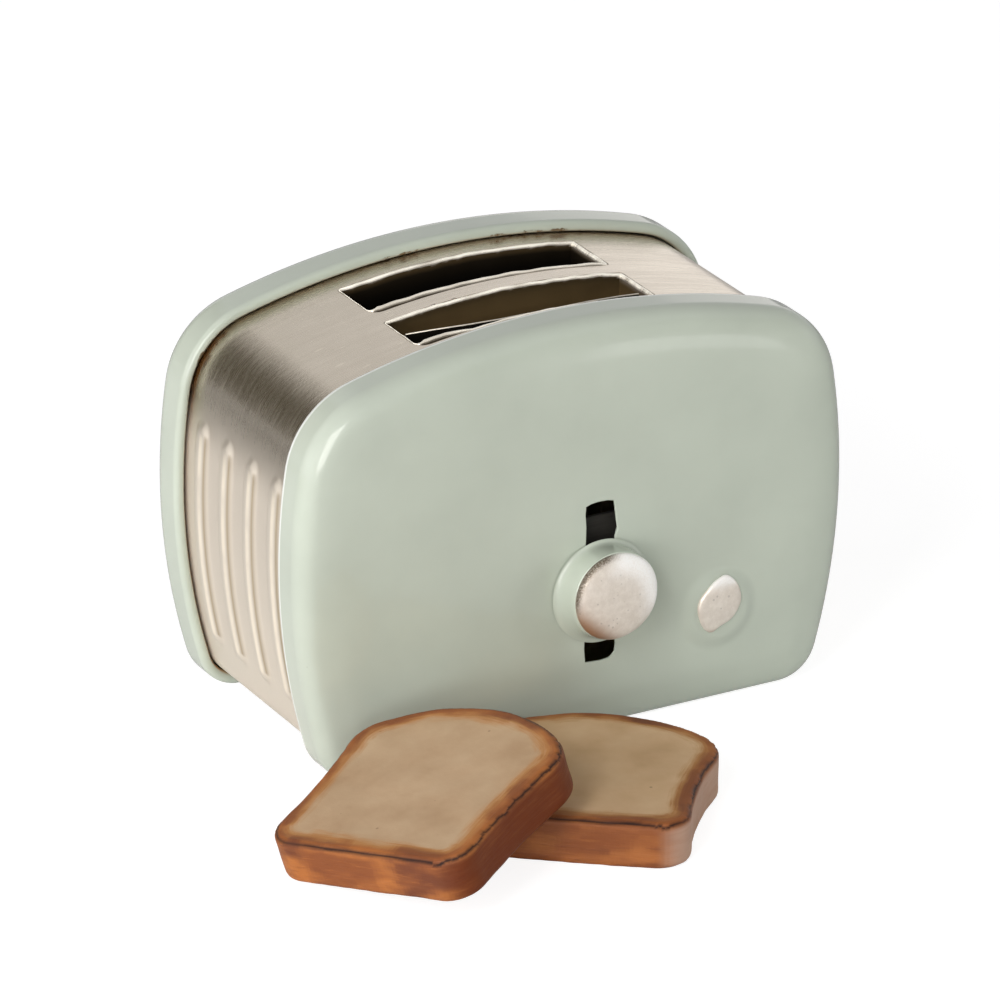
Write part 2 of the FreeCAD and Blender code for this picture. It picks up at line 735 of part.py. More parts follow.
# ---------------------------------------------------------------- bread wells
def bread_well(place, side):
    """A sheet sleeve under a bread slot, open below, with a slot that the shelf's arm runs in."""
    name = f"{place}_bread_well"
    above = S.toaster_height + S.lip_sheet
    inner_corner = S.slot_corner + S.lip_sheet
    outer = (well_half_length, well_half_width, inner_corner + S.well_sheet)
    inner = (lip_half_length, lip_half_width, inner_corner)
    sleeve = column(f"{name}_outer", side, *outer, S.well_bottom, above)
    hollow = column(f"{name}_inner", side, *inner, S.well_bottom - S.well_sheet, above)
    tube = cut(f"{name}_tube", sleeve, hollow)
    under_band = solid_outline(f"{name}_room", band_inner, hem_inner_y)
    trimmed = doc.addObject("Part::Common", f"{name}_trimmed")
    trimmed.Base = tube
    trimmed.Tool = under_band
    # the arm comes in from the front; it passes right through the front well
    front = -slot_y - well_half_width * 2
    back = slot_y if side > 0 else Size(0.0, "0")
    low = (S.lever_slot_x - S.arm_slot_half, front, S.well_bottom - S.well_sheet)
    height = arm_slot_top - S.well_bottom + S.well_sheet
    arm_slot = block(f"{name}_arm_slot", *low, S.arm_slot_half * 2, back - front, height)
    return cut(name, trimmed, arm_slot)


# ---------------------------------------------------------------- carriage guide
def guide_rivet_places():
    """The two rivets of the guide's foot, as x and y."""
    y = -guide_back_y + S.guide_foot - S.rivet_head_radius * 1.25
    for end in (-1, 1):
        yield S.lever_slot_x + S.guide_rivet_reach * end, y


def carriage_guide():
    """A bent sheet that keeps the carriage upright: a slotted web, two rails and a foot."""
    left = S.lever_slot_x - guide_half
    web_height = S.guide_top - base_top
    web = block("guide_web", left, -S.guide_web_y, base_top, guide_half * 2, S.guide_sheet, web_height)
    pieces = [web]
    reach = carriage_front_y + S.lever_clearance
    rail_height = S.guide_top - S.guide_rail_bottom
    for x in (left, S.lever_slot_x + guide_inner_half):
        low = (x, -reach, S.guide_rail_bottom)
        pieces.append(block("guide_rail", *low, S.guide_sheet, reach - guide_back_y, rail_height))
    low = (left, -S.guide_web_y, base_top)
    foot = (guide_half * 2, S.guide_foot + S.guide_sheet, S.guide_sheet)
    pieces.append(block("guide_foot", *low, *foot))
    low = (S.lever_slot_x - S.arm_slot_half, -S.guide_web_y - S.guide_sheet, arm_slot_bottom)
    high = arm_slot_top - arm_slot_bottom
    tools = [block("guide_slot", *low, S.arm_slot_half * 2, S.guide_sheet * 3, high)]
    for x, y in guide_rivet_places():
        tools.append(cylinder("guide_hole", x, y, base_top, small_hole, S.guide_sheet, UP))
    return cut("carriage_guide", fused("guide_blank", pieces), fused("guide_cuts", tools))


def guide_rivets():
    """Rivets of the guide's foot."""
    rivets = []
    for x, y in guide_rivet_places():
        top = base_top + S.guide_sheet
        rivets.append(rivet(f"guide_rivet_{len(rivets)}", x, y, band_inner, top))
    return together("guide_rivets", rivets)


# ---------------------------------------------------------------- lever
def lever_sketch(body, name):
    """A sketch in the level plane of the lever pin, about the pin's axis."""
    return new_sketch(body, name, "XY_Plane", x=S.lever_slot_x, z=S.lever_height)


def lever_knob():
    """The flared collar of the knob, bored for the pin."""
    body = new_body("lever_knob")
    sketch = lever_sketch(body, "knob_section")
    bore = pin_radius + S.hole_clearance
    foot = (S.knob_base_radius, -knob_foot_y)
    neck = (S.knob_neck_radius, -knob_top_y)
    foot_top = (S.knob_base_radius, -knob_foot_y - S.knob_foot_edge)
    waist = (S.knob_waist_radius, -knob_foot_y - S.knob_waist_height)
    polygon(sketch, ((bore, -knob_foot_y), foot, foot_top, waist, neck, (bore, -knob_top_y)))
    turn(body, sketch)
    return body


def knob_cap():
    """The pressed metal cap on the knob, rounded over at its edge."""
    body = new_body("knob_cap")
    sketch = lever_sketch(body, "cap_section")
    side_y = -knob_top_y - S.cap_side
    edge_y = -knob_top_y - S.cap_edge
    round_x = S.cap_radius - (S.cap_radius - S.cap_flat_radius) / 3
    polygon(
        sketch,
        (
            (0.0, -knob_top_y),
            (S.cap_radius, -knob_top_y),
            (S.cap_radius, side_y),
            (round_x, side_y + (edge_y - side_y) * 2 / 3),
            (S.cap_flat_radius, edge_y),
            (0.0, edge_y - S.cap_crown),
        ),
    )
    turn(body, sketch)
    return body


def lever_pin():
    """The pin through the lever slot, riveted over behind the shelf's tab."""
    direction = BACK
    start = (S.lever_slot_x, -knob_top_y, S.lever_height)
    shank = cylinder("pin_shank", *start, pin_radius, knob_top_y - tab_back_y, direction)
    head = (S.lever_slot_x, -tab_back_y, S.lever_height)
    tail = cylinder("pin_tail", *head, S.lever_pin_head, S.rivet_head, direction)
    return fused("lever_pin", [shank, tail])


def spring_washer():
    """The dished washer that presses on the cover and holds the lever where it is put."""
    body = new_body("spring_washer")
    sketch = lever_sketch(body, "washer_section")
    hole = pin_radius + S.hole_clearance
    washer_front_y = cover_inner_y - S.lever_clearance
    polygon(
        sketch,
        (
            (hole, -carriage_front_y),
            (hole, -carriage_front_y - S.washer_sheet),
            (S.washer_radius, -washer_front_y),
            (S.washer_radius, -washer_front_y + S.washer_sheet),
            (hole + S.washer_sheet, -carriage_front_y),
        ),
    )
    turn(body, sketch)
    return body


def shelf_rivet_places():
    """The two rivets that join the shelf's tab to the carriage plate, as x and height."""
    for end in (-1, 1):
        x = S.lever_slot_x + (S.tab_half_width - S.rivet_head_radius) * end
        yield x, S.lever_height - S.tab_below + S.rivet_head_radius * 1.25


def pin_and_rivet_holes(name, front_y, depth):
    """Holes for the lever pin and the shelf's rivets."""
    hole = pin_radius + S.hole_clearance
    start = (S.lever_slot_x, -front_y, S.lever_height)
    holes = [cylinder(f"{name}_pin_hole", *start, hole, depth, BACK)]
    for x, height in shelf_rivet_places():
        holes.append(cylinder(f"{name}_hole", x, -front_y, height, small_hole, depth, BACK))
    return fused(f"{name}_holes", holes)


def carriage_plate():
    """The upright plate that slides in the guide behind the front cover."""
    low = (
        S.lever_slot_x - S.carriage_half_width,
        -carriage_front_y,
        S.lever_height - S.carriage_below,
    )
    height = S.carriage_below + S.carriage_above
    size = (S.carriage_half_width * 2, S.carriage_sheet, height)
    plate = block("carriage_blank", *low, *size)
    holes = pin_and_rivet_holes("carriage", carriage_front_y, S.carriage_sheet)
    return cut("carriage_plate", plate, holes)


def bread_shelf():
    """The shelf: a tab on the carriage, an arm back through the wells and a plate in each well."""
    left = S.lever_slot_x - S.tab_half_width
    tab_height = S.shelf_rise + S.tab_below + S.shelf_sheet
    low = (left, -carriage_back_y, S.lever_height - S.tab_below)
    pieces = [block("shelf_tab", *low, S.tab_half_width * 2, S.shelf_sheet, tab_height)]
    plate_half = lip_half_width - S.shelf_side_gap
    arm_back = slot_y + plate_half
    low = (S.lever_slot_x - S.shelf_arm_half, -carriage_back_y, shelf_bottom)
    size = (S.shelf_arm_half * 2, carriage_back_y + arm_back, S.shelf_sheet)
    pieces.append(block("shelf_arm", *low, *size))
    across = lip_half_length - S.shelf_end_gap
    for side in (-1, 1):
        low = (-across, slot_y * side - plate_half, shelf_bottom)
        pieces.append(block("shelf_plate", *low, across * 2, plate_half * 2, S.shelf_sheet))
    holes = pin_and_rivet_holes("shelf", carriage_back_y, S.shelf_sheet)
    return cut("bread_shelf", fused("shelf_blank", pieces), holes)


def shelf_rivets():
    """Rivets between the carriage plate and the shelf's tab."""
    rivets = []
    for x, height in shelf_rivet_places():
        name = f"shelf_rivet_{len(rivets)}"
        rivets.append(rivet(name, x, height, -carriage_front_y, -tab_back_y, BACK))
    return together("shelf_rivets", rivets)


# ---------------------------------------------------------------- toast
def toast_slice(name, x, y, z, turn_by, lean=None):
    """A slice of toast: flat base, slightly hollow sides, two ears and a bowed crown."""
    body = new_body(name)
    sketch = new_sketch(body, f"{name}_outline", "XY_Plane")
    foot_y = S.toast_foot_radius - S.toast_base
    foot = Vector(S.toast_foot_x, foot_y)
    ear = Vector(S.toast_ear_x, S.toast_ear_height)
    # the hollow side touches the foot's circle and the ear's circle from outside
    to_foot = float(S.toast_waist_radius + S.toast_foot_radius)
    to_ear = float(S.toast_waist_radius + S.toast_ear_radius)
    line = ear - foot
    apart = line.Length
    along = (to_foot**2 - to_ear**2 + apart**2) / (2 * apart)
    off = math.sqrt(to_foot**2 - along**2)
    side = foot + line * (along / apart) + Vector(line.y, -line.x) * (off / apart)
    crown_reach = float(S.toast_crown_radius - S.toast_ear_radius)
    crown = Vector(0, ear.y - math.sqrt(crown_reach**2 - ear.x**2))

    def bearing(start, end):
        return math.atan2(end.y - start.y, end.x - start.x)

    def other(point):
        return Vector(-point.x, point.y)

    turn_half = math.pi
    low = bearing(foot, side)
    high = bearing(ear, side)
    brow = bearing(crown, ear)
    waist = (bearing(side, ear), bearing(side, foot))
    if waist[1] < 0:
        waist = (waist[0], waist[1] + 2 * turn_half)
    radius = S.toast_waist_radius
    edges = (
        Part.LineSegment(Vector(-foot.x, -S.toast_base), Vector(foot.x, -S.toast_base)),
        arc_between(foot, S.toast_foot_radius, -turn_half / 2, low),
        arc_between(side, radius, *waist),
        arc_between(ear, S.toast_ear_radius, high, brow),
        arc_between(crown, S.toast_crown_radius, brow, turn_half - brow),
        arc_between(other(ear), S.toast_ear_radius, turn_half - brow, turn_half - high),
        arc_between(other(side), radius, turn_half - waist[1], turn_half - waist[0]),
        arc_between(other(foot), S.toast_foot_radius, turn_half - low, 1.5 * turn_half),
    )
    tangent_loop(sketch, edges, hollow=(2, 6))
    for index, size in enumerate(
        (
            S.toast_foot_radius,
            S.toast_waist_radius,
            S.toast_ear_radius,
            S.toast_crown_radius,
            S.toast_ear_radius,
            S.toast_waist_radius,
            S.toast_foot_radius,
        ),
        start=1,
    ):
        constrain(sketch, "Radius", index, size=size)
    locate(sketch, 1, 3, S.toast_foot_x, foot_y)
    locate(sketch, 7, 3, -S.toast_foot_x, foot_y)
    locate(sketch, 3, 3, S.toast_ear_x, S.toast_ear_height)
    locate(sketch, 5, 3, -S.toast_ear_x, S.toast_ear_height)
    loaf = pad(body, sketch, S.toast_thickness)
    round_edges(body, loaf, S.toast_edge, lambda box: box.ZLength < 1e-6)
    turned = Rotation(UP, float(turn_by))
    if lean:
        tilt, line_turn = lean
        axis = Rotation(UP, float(line_turn)).multVec(Vector(1, 0, 0))
        turned = turned * Rotation(axis, float(tilt))
    body.Placement = Placement(Vector(), turned)
    for axis, size in (("x", x), ("y", y), ("z", z)):
        bind(body, f"Placement.Base.{axis}", size)
    return body


# ---------------------------------------------------------------- the toaster
NODES = [
    front_cover(),
    pressed_cover("rear_cover", 1)[0],
    cover_studs(),
    push_nuts(),
    dial_spot(),
    body_band(),
    base_plate(),
    base_rivets(),
    bread_well("front", -1),
    bread_well("rear", 1),
    carriage_guide(),
    guide_rivets(),
    lever_knob(),
    knob_cap(),
    lever_pin(),
    spring_washer(),
    carriage_plate(),
    bread_shelf(),
    shelf_rivets(),
    toast_slice("lower_toast", S.lower_toast_x, S.lower_toast_y, Size(0.0, "0"), S.lower_toast_turn),
    toast_slice(
        "upper_toast",
        S.upper_toast_x,
        S.upper_toast_y,
        S.upper_toast_z,
        S.upper_toast_turn,
        lean=(S.upper_toast_tilt, S.upper_toast_tilt_line),
    ),
]

doc.recompute()
for thing in doc.Objects:
    if "Invalid" in thing.State or "Error" in thing.State:
        raise RuntimeError(f"{thing.Name} is {thing.State}")
for node in NODES:
    if node.Shape.isNull() or not node.Shape.isValid():
        raise RuntimeError(f"{node.Label} has no valid shape")

os.makedirs("parts", exist_ok=True)
for node in NODES:
    node.Shape.exportStep(os.path.join("parts", f"{node.Label}.step"))
    print(f"{node.Label}: {len(node.Shape.Solids)} solids, {node.Shape.Volume:.2f} mm3")
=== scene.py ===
"""Dresses the toy toaster in its finishes and sets it in a plain studio.

The enamelled covers, the nickelled band with its ribs and rolled slot lips, the painted lever
and dial spot and the two hand-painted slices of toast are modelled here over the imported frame.
The works inside keep their own meshes and get a finish each.
"""

import logging
import math
from collections.abc import Callable, Iterator, Sequence
from contextlib import contextmanager
from dataclasses import dataclass, field
from enum import Enum

import bmesh
import bpy
import numpy as np
from mathutils import Matrix, Vector, noise


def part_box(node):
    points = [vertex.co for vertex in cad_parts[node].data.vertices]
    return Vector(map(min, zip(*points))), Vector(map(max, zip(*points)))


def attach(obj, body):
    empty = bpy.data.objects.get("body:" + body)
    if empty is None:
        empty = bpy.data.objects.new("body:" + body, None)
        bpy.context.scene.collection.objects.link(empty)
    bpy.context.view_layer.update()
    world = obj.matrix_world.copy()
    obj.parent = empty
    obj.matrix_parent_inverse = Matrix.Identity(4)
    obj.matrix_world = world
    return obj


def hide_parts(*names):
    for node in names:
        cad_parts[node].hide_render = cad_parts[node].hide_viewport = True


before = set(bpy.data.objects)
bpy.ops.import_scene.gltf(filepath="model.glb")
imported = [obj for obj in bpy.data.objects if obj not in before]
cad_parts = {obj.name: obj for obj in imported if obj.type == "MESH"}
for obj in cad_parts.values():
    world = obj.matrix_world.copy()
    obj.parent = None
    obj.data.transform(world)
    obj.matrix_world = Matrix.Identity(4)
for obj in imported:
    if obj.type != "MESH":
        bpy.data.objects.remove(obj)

log = logging.getLogger("toaster")

MM = 0.001

BOSS_CENTRE = Vector((14.0 * MM, 9.6 * MM))  # x and z of the front cover's boss

Colour = tuple[float, float, float]
Rgba = tuple[float, float, float, float]
Ring = list[Vector]


class Body(Enum):
    """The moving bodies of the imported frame."""

    HOUSING = "housing"
    LEVER = "lever"
    LOWER_SLICE = "lower_slice"
    UPPER_SLICE = "upper_slice"


class Slot(Enum):
    """The record's material slot names for the pieces made here."""

    MINT = "mint_enamel"
    KNOB_MINT = "mint_enamel_knob"
    NICKEL = "brushed_nickel"
    CHAMPAGNE = "champagne_metal"
    TOAST = "painted_toast"


def srgb(red: int, green: int, blue: int) -> Rgba:
    """Turns a display colour of 0 to 255 into the linear colour that shaders take."""
    shares = (value / 255.0 for value in (red, green, blue))
    linear = [v / 12.92 if v <= 0.04045 else ((v + 0.055) / 1.055) ** 2.4 for v in shares]
    return (*linear, 1.0)


def toned(colour: Rgba, factor: float) -> Rgba:
    """Lightens or darkens a linear colour by a factor."""
    return (*(min(1.0, value * factor) for value in colour[:3]), 1.0)


def ramp(value: float, low: float, span: float) -> float:
    """Rises evenly from 0 at low to 1 a span above it."""
    return min(1.0, max(0.0, (value - low) / span))


# ---------------------------------------------------------------- modelling helpers


def deselect_all() -> None:
    """Leaves nothing selected, so that the next operator acts on its own object alone."""
    bpy.ops.object.select_all(action="DESELECT")


def activate(piece: bpy.types.Object) -> None:
    """Makes a piece the only selected and the active object."""
    deselect_all()
    piece.select_set(True)
    bpy.context.view_layer.objects.active = piece


@contextmanager
def edit_mode(piece: bpy.types.Object) -> Iterator[None]:
    """Keeps a piece in edit mode, with nothing selected at the start, while the block runs."""
    activate(piece)
    bpy.ops.object.mode_set(mode="EDIT")
    bpy.ops.mesh.select_all(action="DESELECT")
    yield
    bpy.ops.object.mode_set(mode="OBJECT")


def select_edges(piece: bpy.types.Object, chosen: Callable[[bmesh.types.BMEdge], bool]) -> None:
    """Selects the edges that pass a test, in edit mode.

    Args:
        piece: The object in edit mode.
        chosen: Says whether an edge is wanted.
    """
    mesh = bmesh.from_edit_mesh(piece.data)
    for edge in mesh.edges:
        edge.select_set(bool(chosen(edge)))
    mesh.select_flush_mode()
    bmesh.update_edit_mesh(piece.data)


def apply_modifier(piece: bpy.types.Object, kind: str, **settings: object) -> None:
    """Adds a modifier to a piece and applies it at once.

    Args:
        piece: The object to change.
        kind: The modifier's type, such as "BOOLEAN".
        **settings: The modifier's own settings.
    """
    activate(piece)
    modifier = piece.modifiers.new(kind.lower(), kind)
    for name, value in settings.items():
        setattr(modifier, name, value)
    bpy.ops.object.modifier_apply(modifier=modifier.name)


def carve(piece: bpy.types.Object, tool: bpy.types.Object) -> None:
    """Cuts a closed tool shape out of a piece and removes the tool."""
    apply_modifier(piece, "BOOLEAN", object=tool, operation="DIFFERENCE", solver="EXACT")
    bpy.data.objects.remove(tool)


def loft(name: str, rings: Sequence[Ring], closed: bool = False) -> bpy.types.Object:
    """Extrudes a circle primitive from ring to ring, as by hand.

    Args:
        name: The new object's name.
        rings: Rings of equal point counts, in order along the surface.
        closed: Bridges the last ring to the first; otherwise both ends are capped.

    Returns:
        The new mesh object, at the origin, with its faces pointing outwards. Its points carry
        "ring" and "place", their numbers along the surface and in the ring.
    """
    bpy.ops.mesh.primitive_circle_add(vertices=len(rings[0]), radius=1.0)
    piece = bpy.context.active_object
    piece.name = name
    with edit_mode(piece):
        mesh = bmesh.from_edit_mesh(piece.data)
        mesh.verts.layers.int.new("ring")
        place = mesh.verts.layers.int.new("place")
        mesh.verts.ensure_lookup_table()
        for index, (vertex, point) in enumerate(zip(mesh.verts, rings[0])):
            vertex[place] = index
            vertex.co = point
        bmesh.update_edit_mesh(piece.data)
        bpy.ops.mesh.select_all(action="SELECT")
        if not closed:
            bpy.ops.mesh.edge_face_add()
        for count, ring in enumerate(rings[1:], start=1):
            if count == 1 and not closed:
                bpy.ops.mesh.select_mode(type="EDGE")
            bpy.ops.mesh.extrude_edges_move()
            mesh = bmesh.from_edit_mesh(piece.data)
            place = mesh.verts.layers.int["place"]
            number = mesh.verts.layers.int["ring"]
            for vertex in mesh.verts:
                if vertex.select:
                    vertex.co = ring[vertex[place]]
                    vertex[number] = count
            bmesh.update_edit_mesh(piece.data)
        if closed:
            select_edges(piece, lambda edge: edge.is_boundary)
            bpy.ops.mesh.bridge_edge_loops()
        else:
            bpy.ops.mesh.edge_face_add()
        bpy.ops.mesh.select_all(action="SELECT")
        bpy.ops.mesh.normals_make_consistent(inside=False)
    return piece


def numbers(piece: bpy.types.Object, name: str) -> np.ndarray:
    """Reads the whole numbers that a lofted piece's points carry under a name."""
    found = np.empty(len(piece.data.vertices), dtype=np.int32)
    piece.data.attributes[name].data.foreach_get("value", found)
    return found


def join(parts: Sequence[bpy.types.Object], name: str) -> bpy.types.Object:
    """Joins mesh objects into one and names it."""
    deselect_all()
    for part in parts:
        part.select_set(True)
    bpy.context.view_layer.objects.active = parts[0]
    bpy.ops.object.join()
    parts[0].name = name
    return parts[0]


def coordinates(piece: bpy.types.Object) -> np.ndarray:
    """Gives a mesh's points as rows of x, y and z."""
    flat = np.empty(len(piece.data.vertices) * 3)
    piece.data.vertices.foreach_get("co", flat)
    return flat.reshape(-1, 3)


def set_coordinates(piece: bpy.types.Object, points: np.ndarray) -> None:
    """Moves a mesh's points to the given rows of x, y and z."""
    piece.data.vertices.foreach_set("co", points.ravel())
    piece.data.update()


def vertex_normals(piece: bpy.types.Object) -> np.ndarray:
    """Gives a mesh's vertex normals as rows."""
    flat = np.empty(len(piece.data.vertices) * 3)
    piece.data.vertex_normals.foreach_get("vector", flat)
    return flat.reshape(-1, 3)


def write_mask(piece: bpy.types.Object, name: str, values: np.ndarray) -> None:
    """Stores one number per point under a name that the piece's material reads."""
    layer = piece.data.attributes.new(name, "FLOAT", "POINT")
    layer.data.foreach_set("value", values.astype(np.float32))


def write_vectors(piece: bpy.types.Object, name: str, values: np.ndarray) -> None:
    """Stores one vector per point under a name that the piece's material reads."""
    layer = piece.data.attributes.new(name, "FLOAT_VECTOR", "POINT")
    layer.data.foreach_set("vector", values.astype(np.float32).ravel())


def smooth_step(values: np.ndarray, low: float, high: float) -> np.ndarray:
    """Rises smoothly from 0 at low to 1 at high."""
    share = np.clip((values - low) / (high - low), 0.0, 1.0)
    return share * share * (3.0 - 2.0 * share)


def waver(points: np.ndarray, scale: float, seed: float) -> np.ndarray:
    """Gives smooth noise from about -1 to 1 at each point.

    Args:
        points: Rows of x, y and z in metres.
        scale: The size of one wave, in metres.
        seed: Moves the pattern, so that two wavers differ.

    Returns:
        One number per row.
    """
    offset = Vector((seed, seed * 0.7, -seed))
    return np.array([noise.noise(Vector(point) / scale + offset) for point in points])


def settle(
    piece: bpy.types.Object,
    body: Body,
    material: bpy.types.Material,
    replaces: Sequence[str],
    smooth_angle: float = math.radians(35.0),
) -> None:
    """Smooths, dresses and hangs a finished piece on its body.

    Args:
        piece: The finished mesh object.
        body: The body that it moves with.
        material: The finish itself.
        replaces: The frame nodes that it stands for.
        smooth_angle: Edges sharper than this stay crisp.
    """
    activate(piece)
    bpy.ops.object.transform_apply(location=True, rotation=True, scale=True)
    bpy.ops.object.shade_smooth_by_angle(angle=smooth_angle)
    for name in ("ring", "place"):
        if name in piece.data.attributes:
            piece.data.attributes.remove(piece.data.attributes[name])
    piece.data.materials.clear()
    piece.data.materials.append(material)
    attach(piece, body.value)
    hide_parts(*replaces)
    log.info("%s: %d faces on %s", piece.name, len(piece.data.polygons), body.value)


# ---------------------------------------------------------------- outlines


@dataclass(frozen=True)
class Arc:
    """A round stretch of an outline, from one angle to another about a centre."""

    centre: Vector
    radius: float
    start: float
    end: float

    def sample(self, spacing: float) -> list[tuple[Vector, Vector]]:
        """Gives points on the arc with their outward directions.

        Args:
            spacing: The largest gap between points.

        Returns:
            Pairs of point and direction, from the start, without the end.
        """
        steps = max(3, math.ceil(abs(self.end - self.start) * self.radius / spacing))
        way = 1.0 if self.end > self.start else -1.0
        found = []
        for step in range(steps):
            angle = self.start + (self.end - self.start) * step / steps
            direction = Vector((math.cos(angle), math.sin(angle)))
            found.append((self.centre + self.radius * direction, way * direction))
        return found


def circles_meet(first: Vector, reach: float, second: Vector, reach_two: float) -> Vector:
    """Finds the point at given distances from two points, to the left of the line between them.

    Args:
        first: The first point.
        reach: The distance from it.
        second: The second point.
        reach_two: The distance from that.

    Returns:
        The point.
    """
    line = second - first
    span = line.length
    along = (reach**2 - reach_two**2 + span**2) / (2.0 * span)
    off = math.sqrt(reach**2 - along**2)
    unit = line / span
    return first + along * unit + off * Vector((-unit.y, unit.x))


def angle_from(centre: Vector, point: Vector) -> float:
    """Gives the direction from a centre to a point, in radians."""
    return math.atan2(point.y - centre.y, point.x - centre.x)


@dataclass(frozen=True)
class CoverOutline:
    """The closed outline of the covers: flat foot, bulging sides, round shoulders, low crown."""

    length: float
    height: float
    side_radius: float = 62.0 * MM
    side_height: float = 19.9 * MM
    crown_radius: float = 75.5 * MM
    shoulder: float = 8.7 * MM
    heel: float = 4.2 * MM

    def crown_centre(self) -> Vector:
        """The centre of the long arc along the top."""
        return Vector((0.0, self.height - self.crown_radius))

    def sample(self, spacing: float) -> list[tuple[Vector, Vector]]:
        """Gives points round the outline, anticlockwise from the foot's left end.

        Args:
            spacing: The largest gap between points.

        Returns:
            Pairs of point and outward direction.
        """
        side = Vector((self.length / 2 - self.side_radius, self.side_height))
        crown = self.crown_centre()
        shoulder = circles_meet(
            crown, self.crown_radius - self.shoulder, side, self.side_radius - self.shoulder
        )
        if shoulder.x < 0:
            shoulder = circles_meet(
                side, self.side_radius - self.shoulder, crown, self.crown_radius - self.shoulder
            )
        rise = self.heel - self.side_height
        run = math.sqrt((self.side_radius - self.heel) ** 2 - rise**2)
        heel = Vector((side.x + run, self.heel))
        low = angle_from(side, heel)
        high = angle_from(side, shoulder)
        brow = angle_from(crown, shoulder)
        right = [
            Arc(heel, self.heel, -math.pi / 2, low),
            Arc(side, self.side_radius, low, high),
            Arc(shoulder, self.shoulder, high, brow),
        ]
        found = []
        steps = math.ceil(2 * heel.x / spacing)
        for step in range(steps):
            point = Vector((-heel.x + 2 * heel.x * step / steps, 0.0))
            found.append((point, Vector((0.0, -1.0))))
        for arc in right:
            found += arc.sample(spacing)
        found += Arc(crown, self.crown_radius, brow, math.pi - brow).sample(spacing)
        for arc in reversed(right):
            centre = Vector((-arc.centre.x, arc.centre.y))
            mirrored = Arc(centre, arc.radius, math.pi - arc.end, math.pi - arc.start)
            found += mirrored.sample(spacing)
        return found


def covers_outline(paint: float = 0.15 * MM) -> CoverOutline:
    """Takes the outline's length and height from the frame's front cover.

    Args:
        paint: How much the coats of paint add all round.

    Returns:
        The outline outside the paint.
    """
    low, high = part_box("front_cover")
    return CoverOutline(length=high.x - low.x + 2 * paint, height=high.z - low.z + paint)


# ---------------------------------------------------------------- node helpers


class Graph:
    """A node tree that is filled one node at a time."""

    def __init__(self, tree: bpy.types.NodeTree) -> None:
        """Starts on an empty or existing tree."""
        self.tree = tree

    def add(self, kind: str, inputs: dict | None = None, **settings: object) -> bpy.types.Node:
        """Adds a node, sets it up and feeds its inputs.

        Args:
            kind: The node's type.
            inputs: Values or sockets by input name or number.
            **settings: The node's own settings.

        Returns:
            The node.
        """
        node = self.tree.nodes.new(kind)
        for name, value in settings.items():
            setattr(node, name, value)
        self.feed(node, inputs or {})
        return node

    def feed(self, node: bpy.types.Node, inputs: dict) -> None:
        """Sets a node's inputs, by name or number, to values or links them to sockets."""
        for name, value in inputs.items():
            if isinstance(value, bpy.types.NodeSocket):
                self.tree.links.new(value, node.inputs[name])
            else:
                node.inputs[name].default_value = value

    def object_space(self) -> bpy.types.NodeSocket:
        """The point's place on the piece."""
        return self.add("ShaderNodeTexCoord").outputs["Object"]

    def mask(self, name: str) -> bpy.types.NodeSocket:
        """A number that the piece carries at each point."""
        return self.add("ShaderNodeAttribute", attribute_name=name).outputs["Fac"]

    def vector(self, name: str) -> bpy.types.NodeSocket:
        """A vector that the piece carries at each point."""
        return self.add("ShaderNodeAttribute", attribute_name=name).outputs["Vector"]

    def noise(
        self, vector: object, scale: float, detail: float = 2.0, roughness: float = 0.5
    ) -> bpy.types.NodeSocket:
        """Smooth noise of a given scale, from 0 to 1."""
        inputs = {"Vector": vector, "Scale": scale, "Detail": detail, "Roughness": roughness}
        return self.add("ShaderNodeTexNoise", inputs).outputs["Fac"]

    def stretch(self, vector: object, scale: Sequence[float]) -> bpy.types.NodeSocket:
        """Scales a vector along its own axes."""
        inputs = {"Vector": vector, "Scale": scale}
        return self.add("ShaderNodeMapping", inputs).outputs["Vector"]

    def sums(self, operation: str, first: object, second: object = 0.0) -> bpy.types.NodeSocket:
        """One step of arithmetic."""
        return self.add("ShaderNodeMath", {0: first, 1: second}, operation=operation).outputs[0]

    def times(self, first: object, second: object) -> bpy.types.NodeSocket:
        """One number times another."""
        return self.sums("MULTIPLY", first, second)

    def fade(
        self, value: object, low: float, high: float, start: float = 0.0, end: float = 1.0
    ) -> bpy.types.NodeSocket:
        """Turns a value smoothly from start, at low, to end, at high."""
        inputs = {"Value": value, "From Min": low, "From Max": high, "To Min": start, "To Max": end}
        node = self.add("ShaderNodeMapRange", inputs, interpolation_type="SMOOTHSTEP")
        return node.outputs["Result"]

    def mix(self, share: object, first: object, second: object) -> bpy.types.NodeSocket:
        """Blends two colours."""
        inputs = {0: share, 6: first, 7: second}
        return self.add("ShaderNodeMix", inputs, data_type="RGBA").outputs[2]

    def bump(self, height: object, distance: float, normal: object = None) -> bpy.types.NodeSocket:
        """Turns a height into a normal; distance is how tall a height of 1 stands."""
        inputs = {"Height": height, "Distance": distance, "Strength": 1.0}
        if normal is not None:
            inputs["Normal"] = normal
        return self.add("ShaderNodeBump", inputs).outputs["Normal"]

    def group(self, tree: bpy.types.NodeTree, inputs: dict) -> bpy.types.NodeSocket:
        """Places a node group with its own values and gives its one output."""
        return self.add("ShaderNodeGroup", inputs, node_tree=tree).outputs[0]


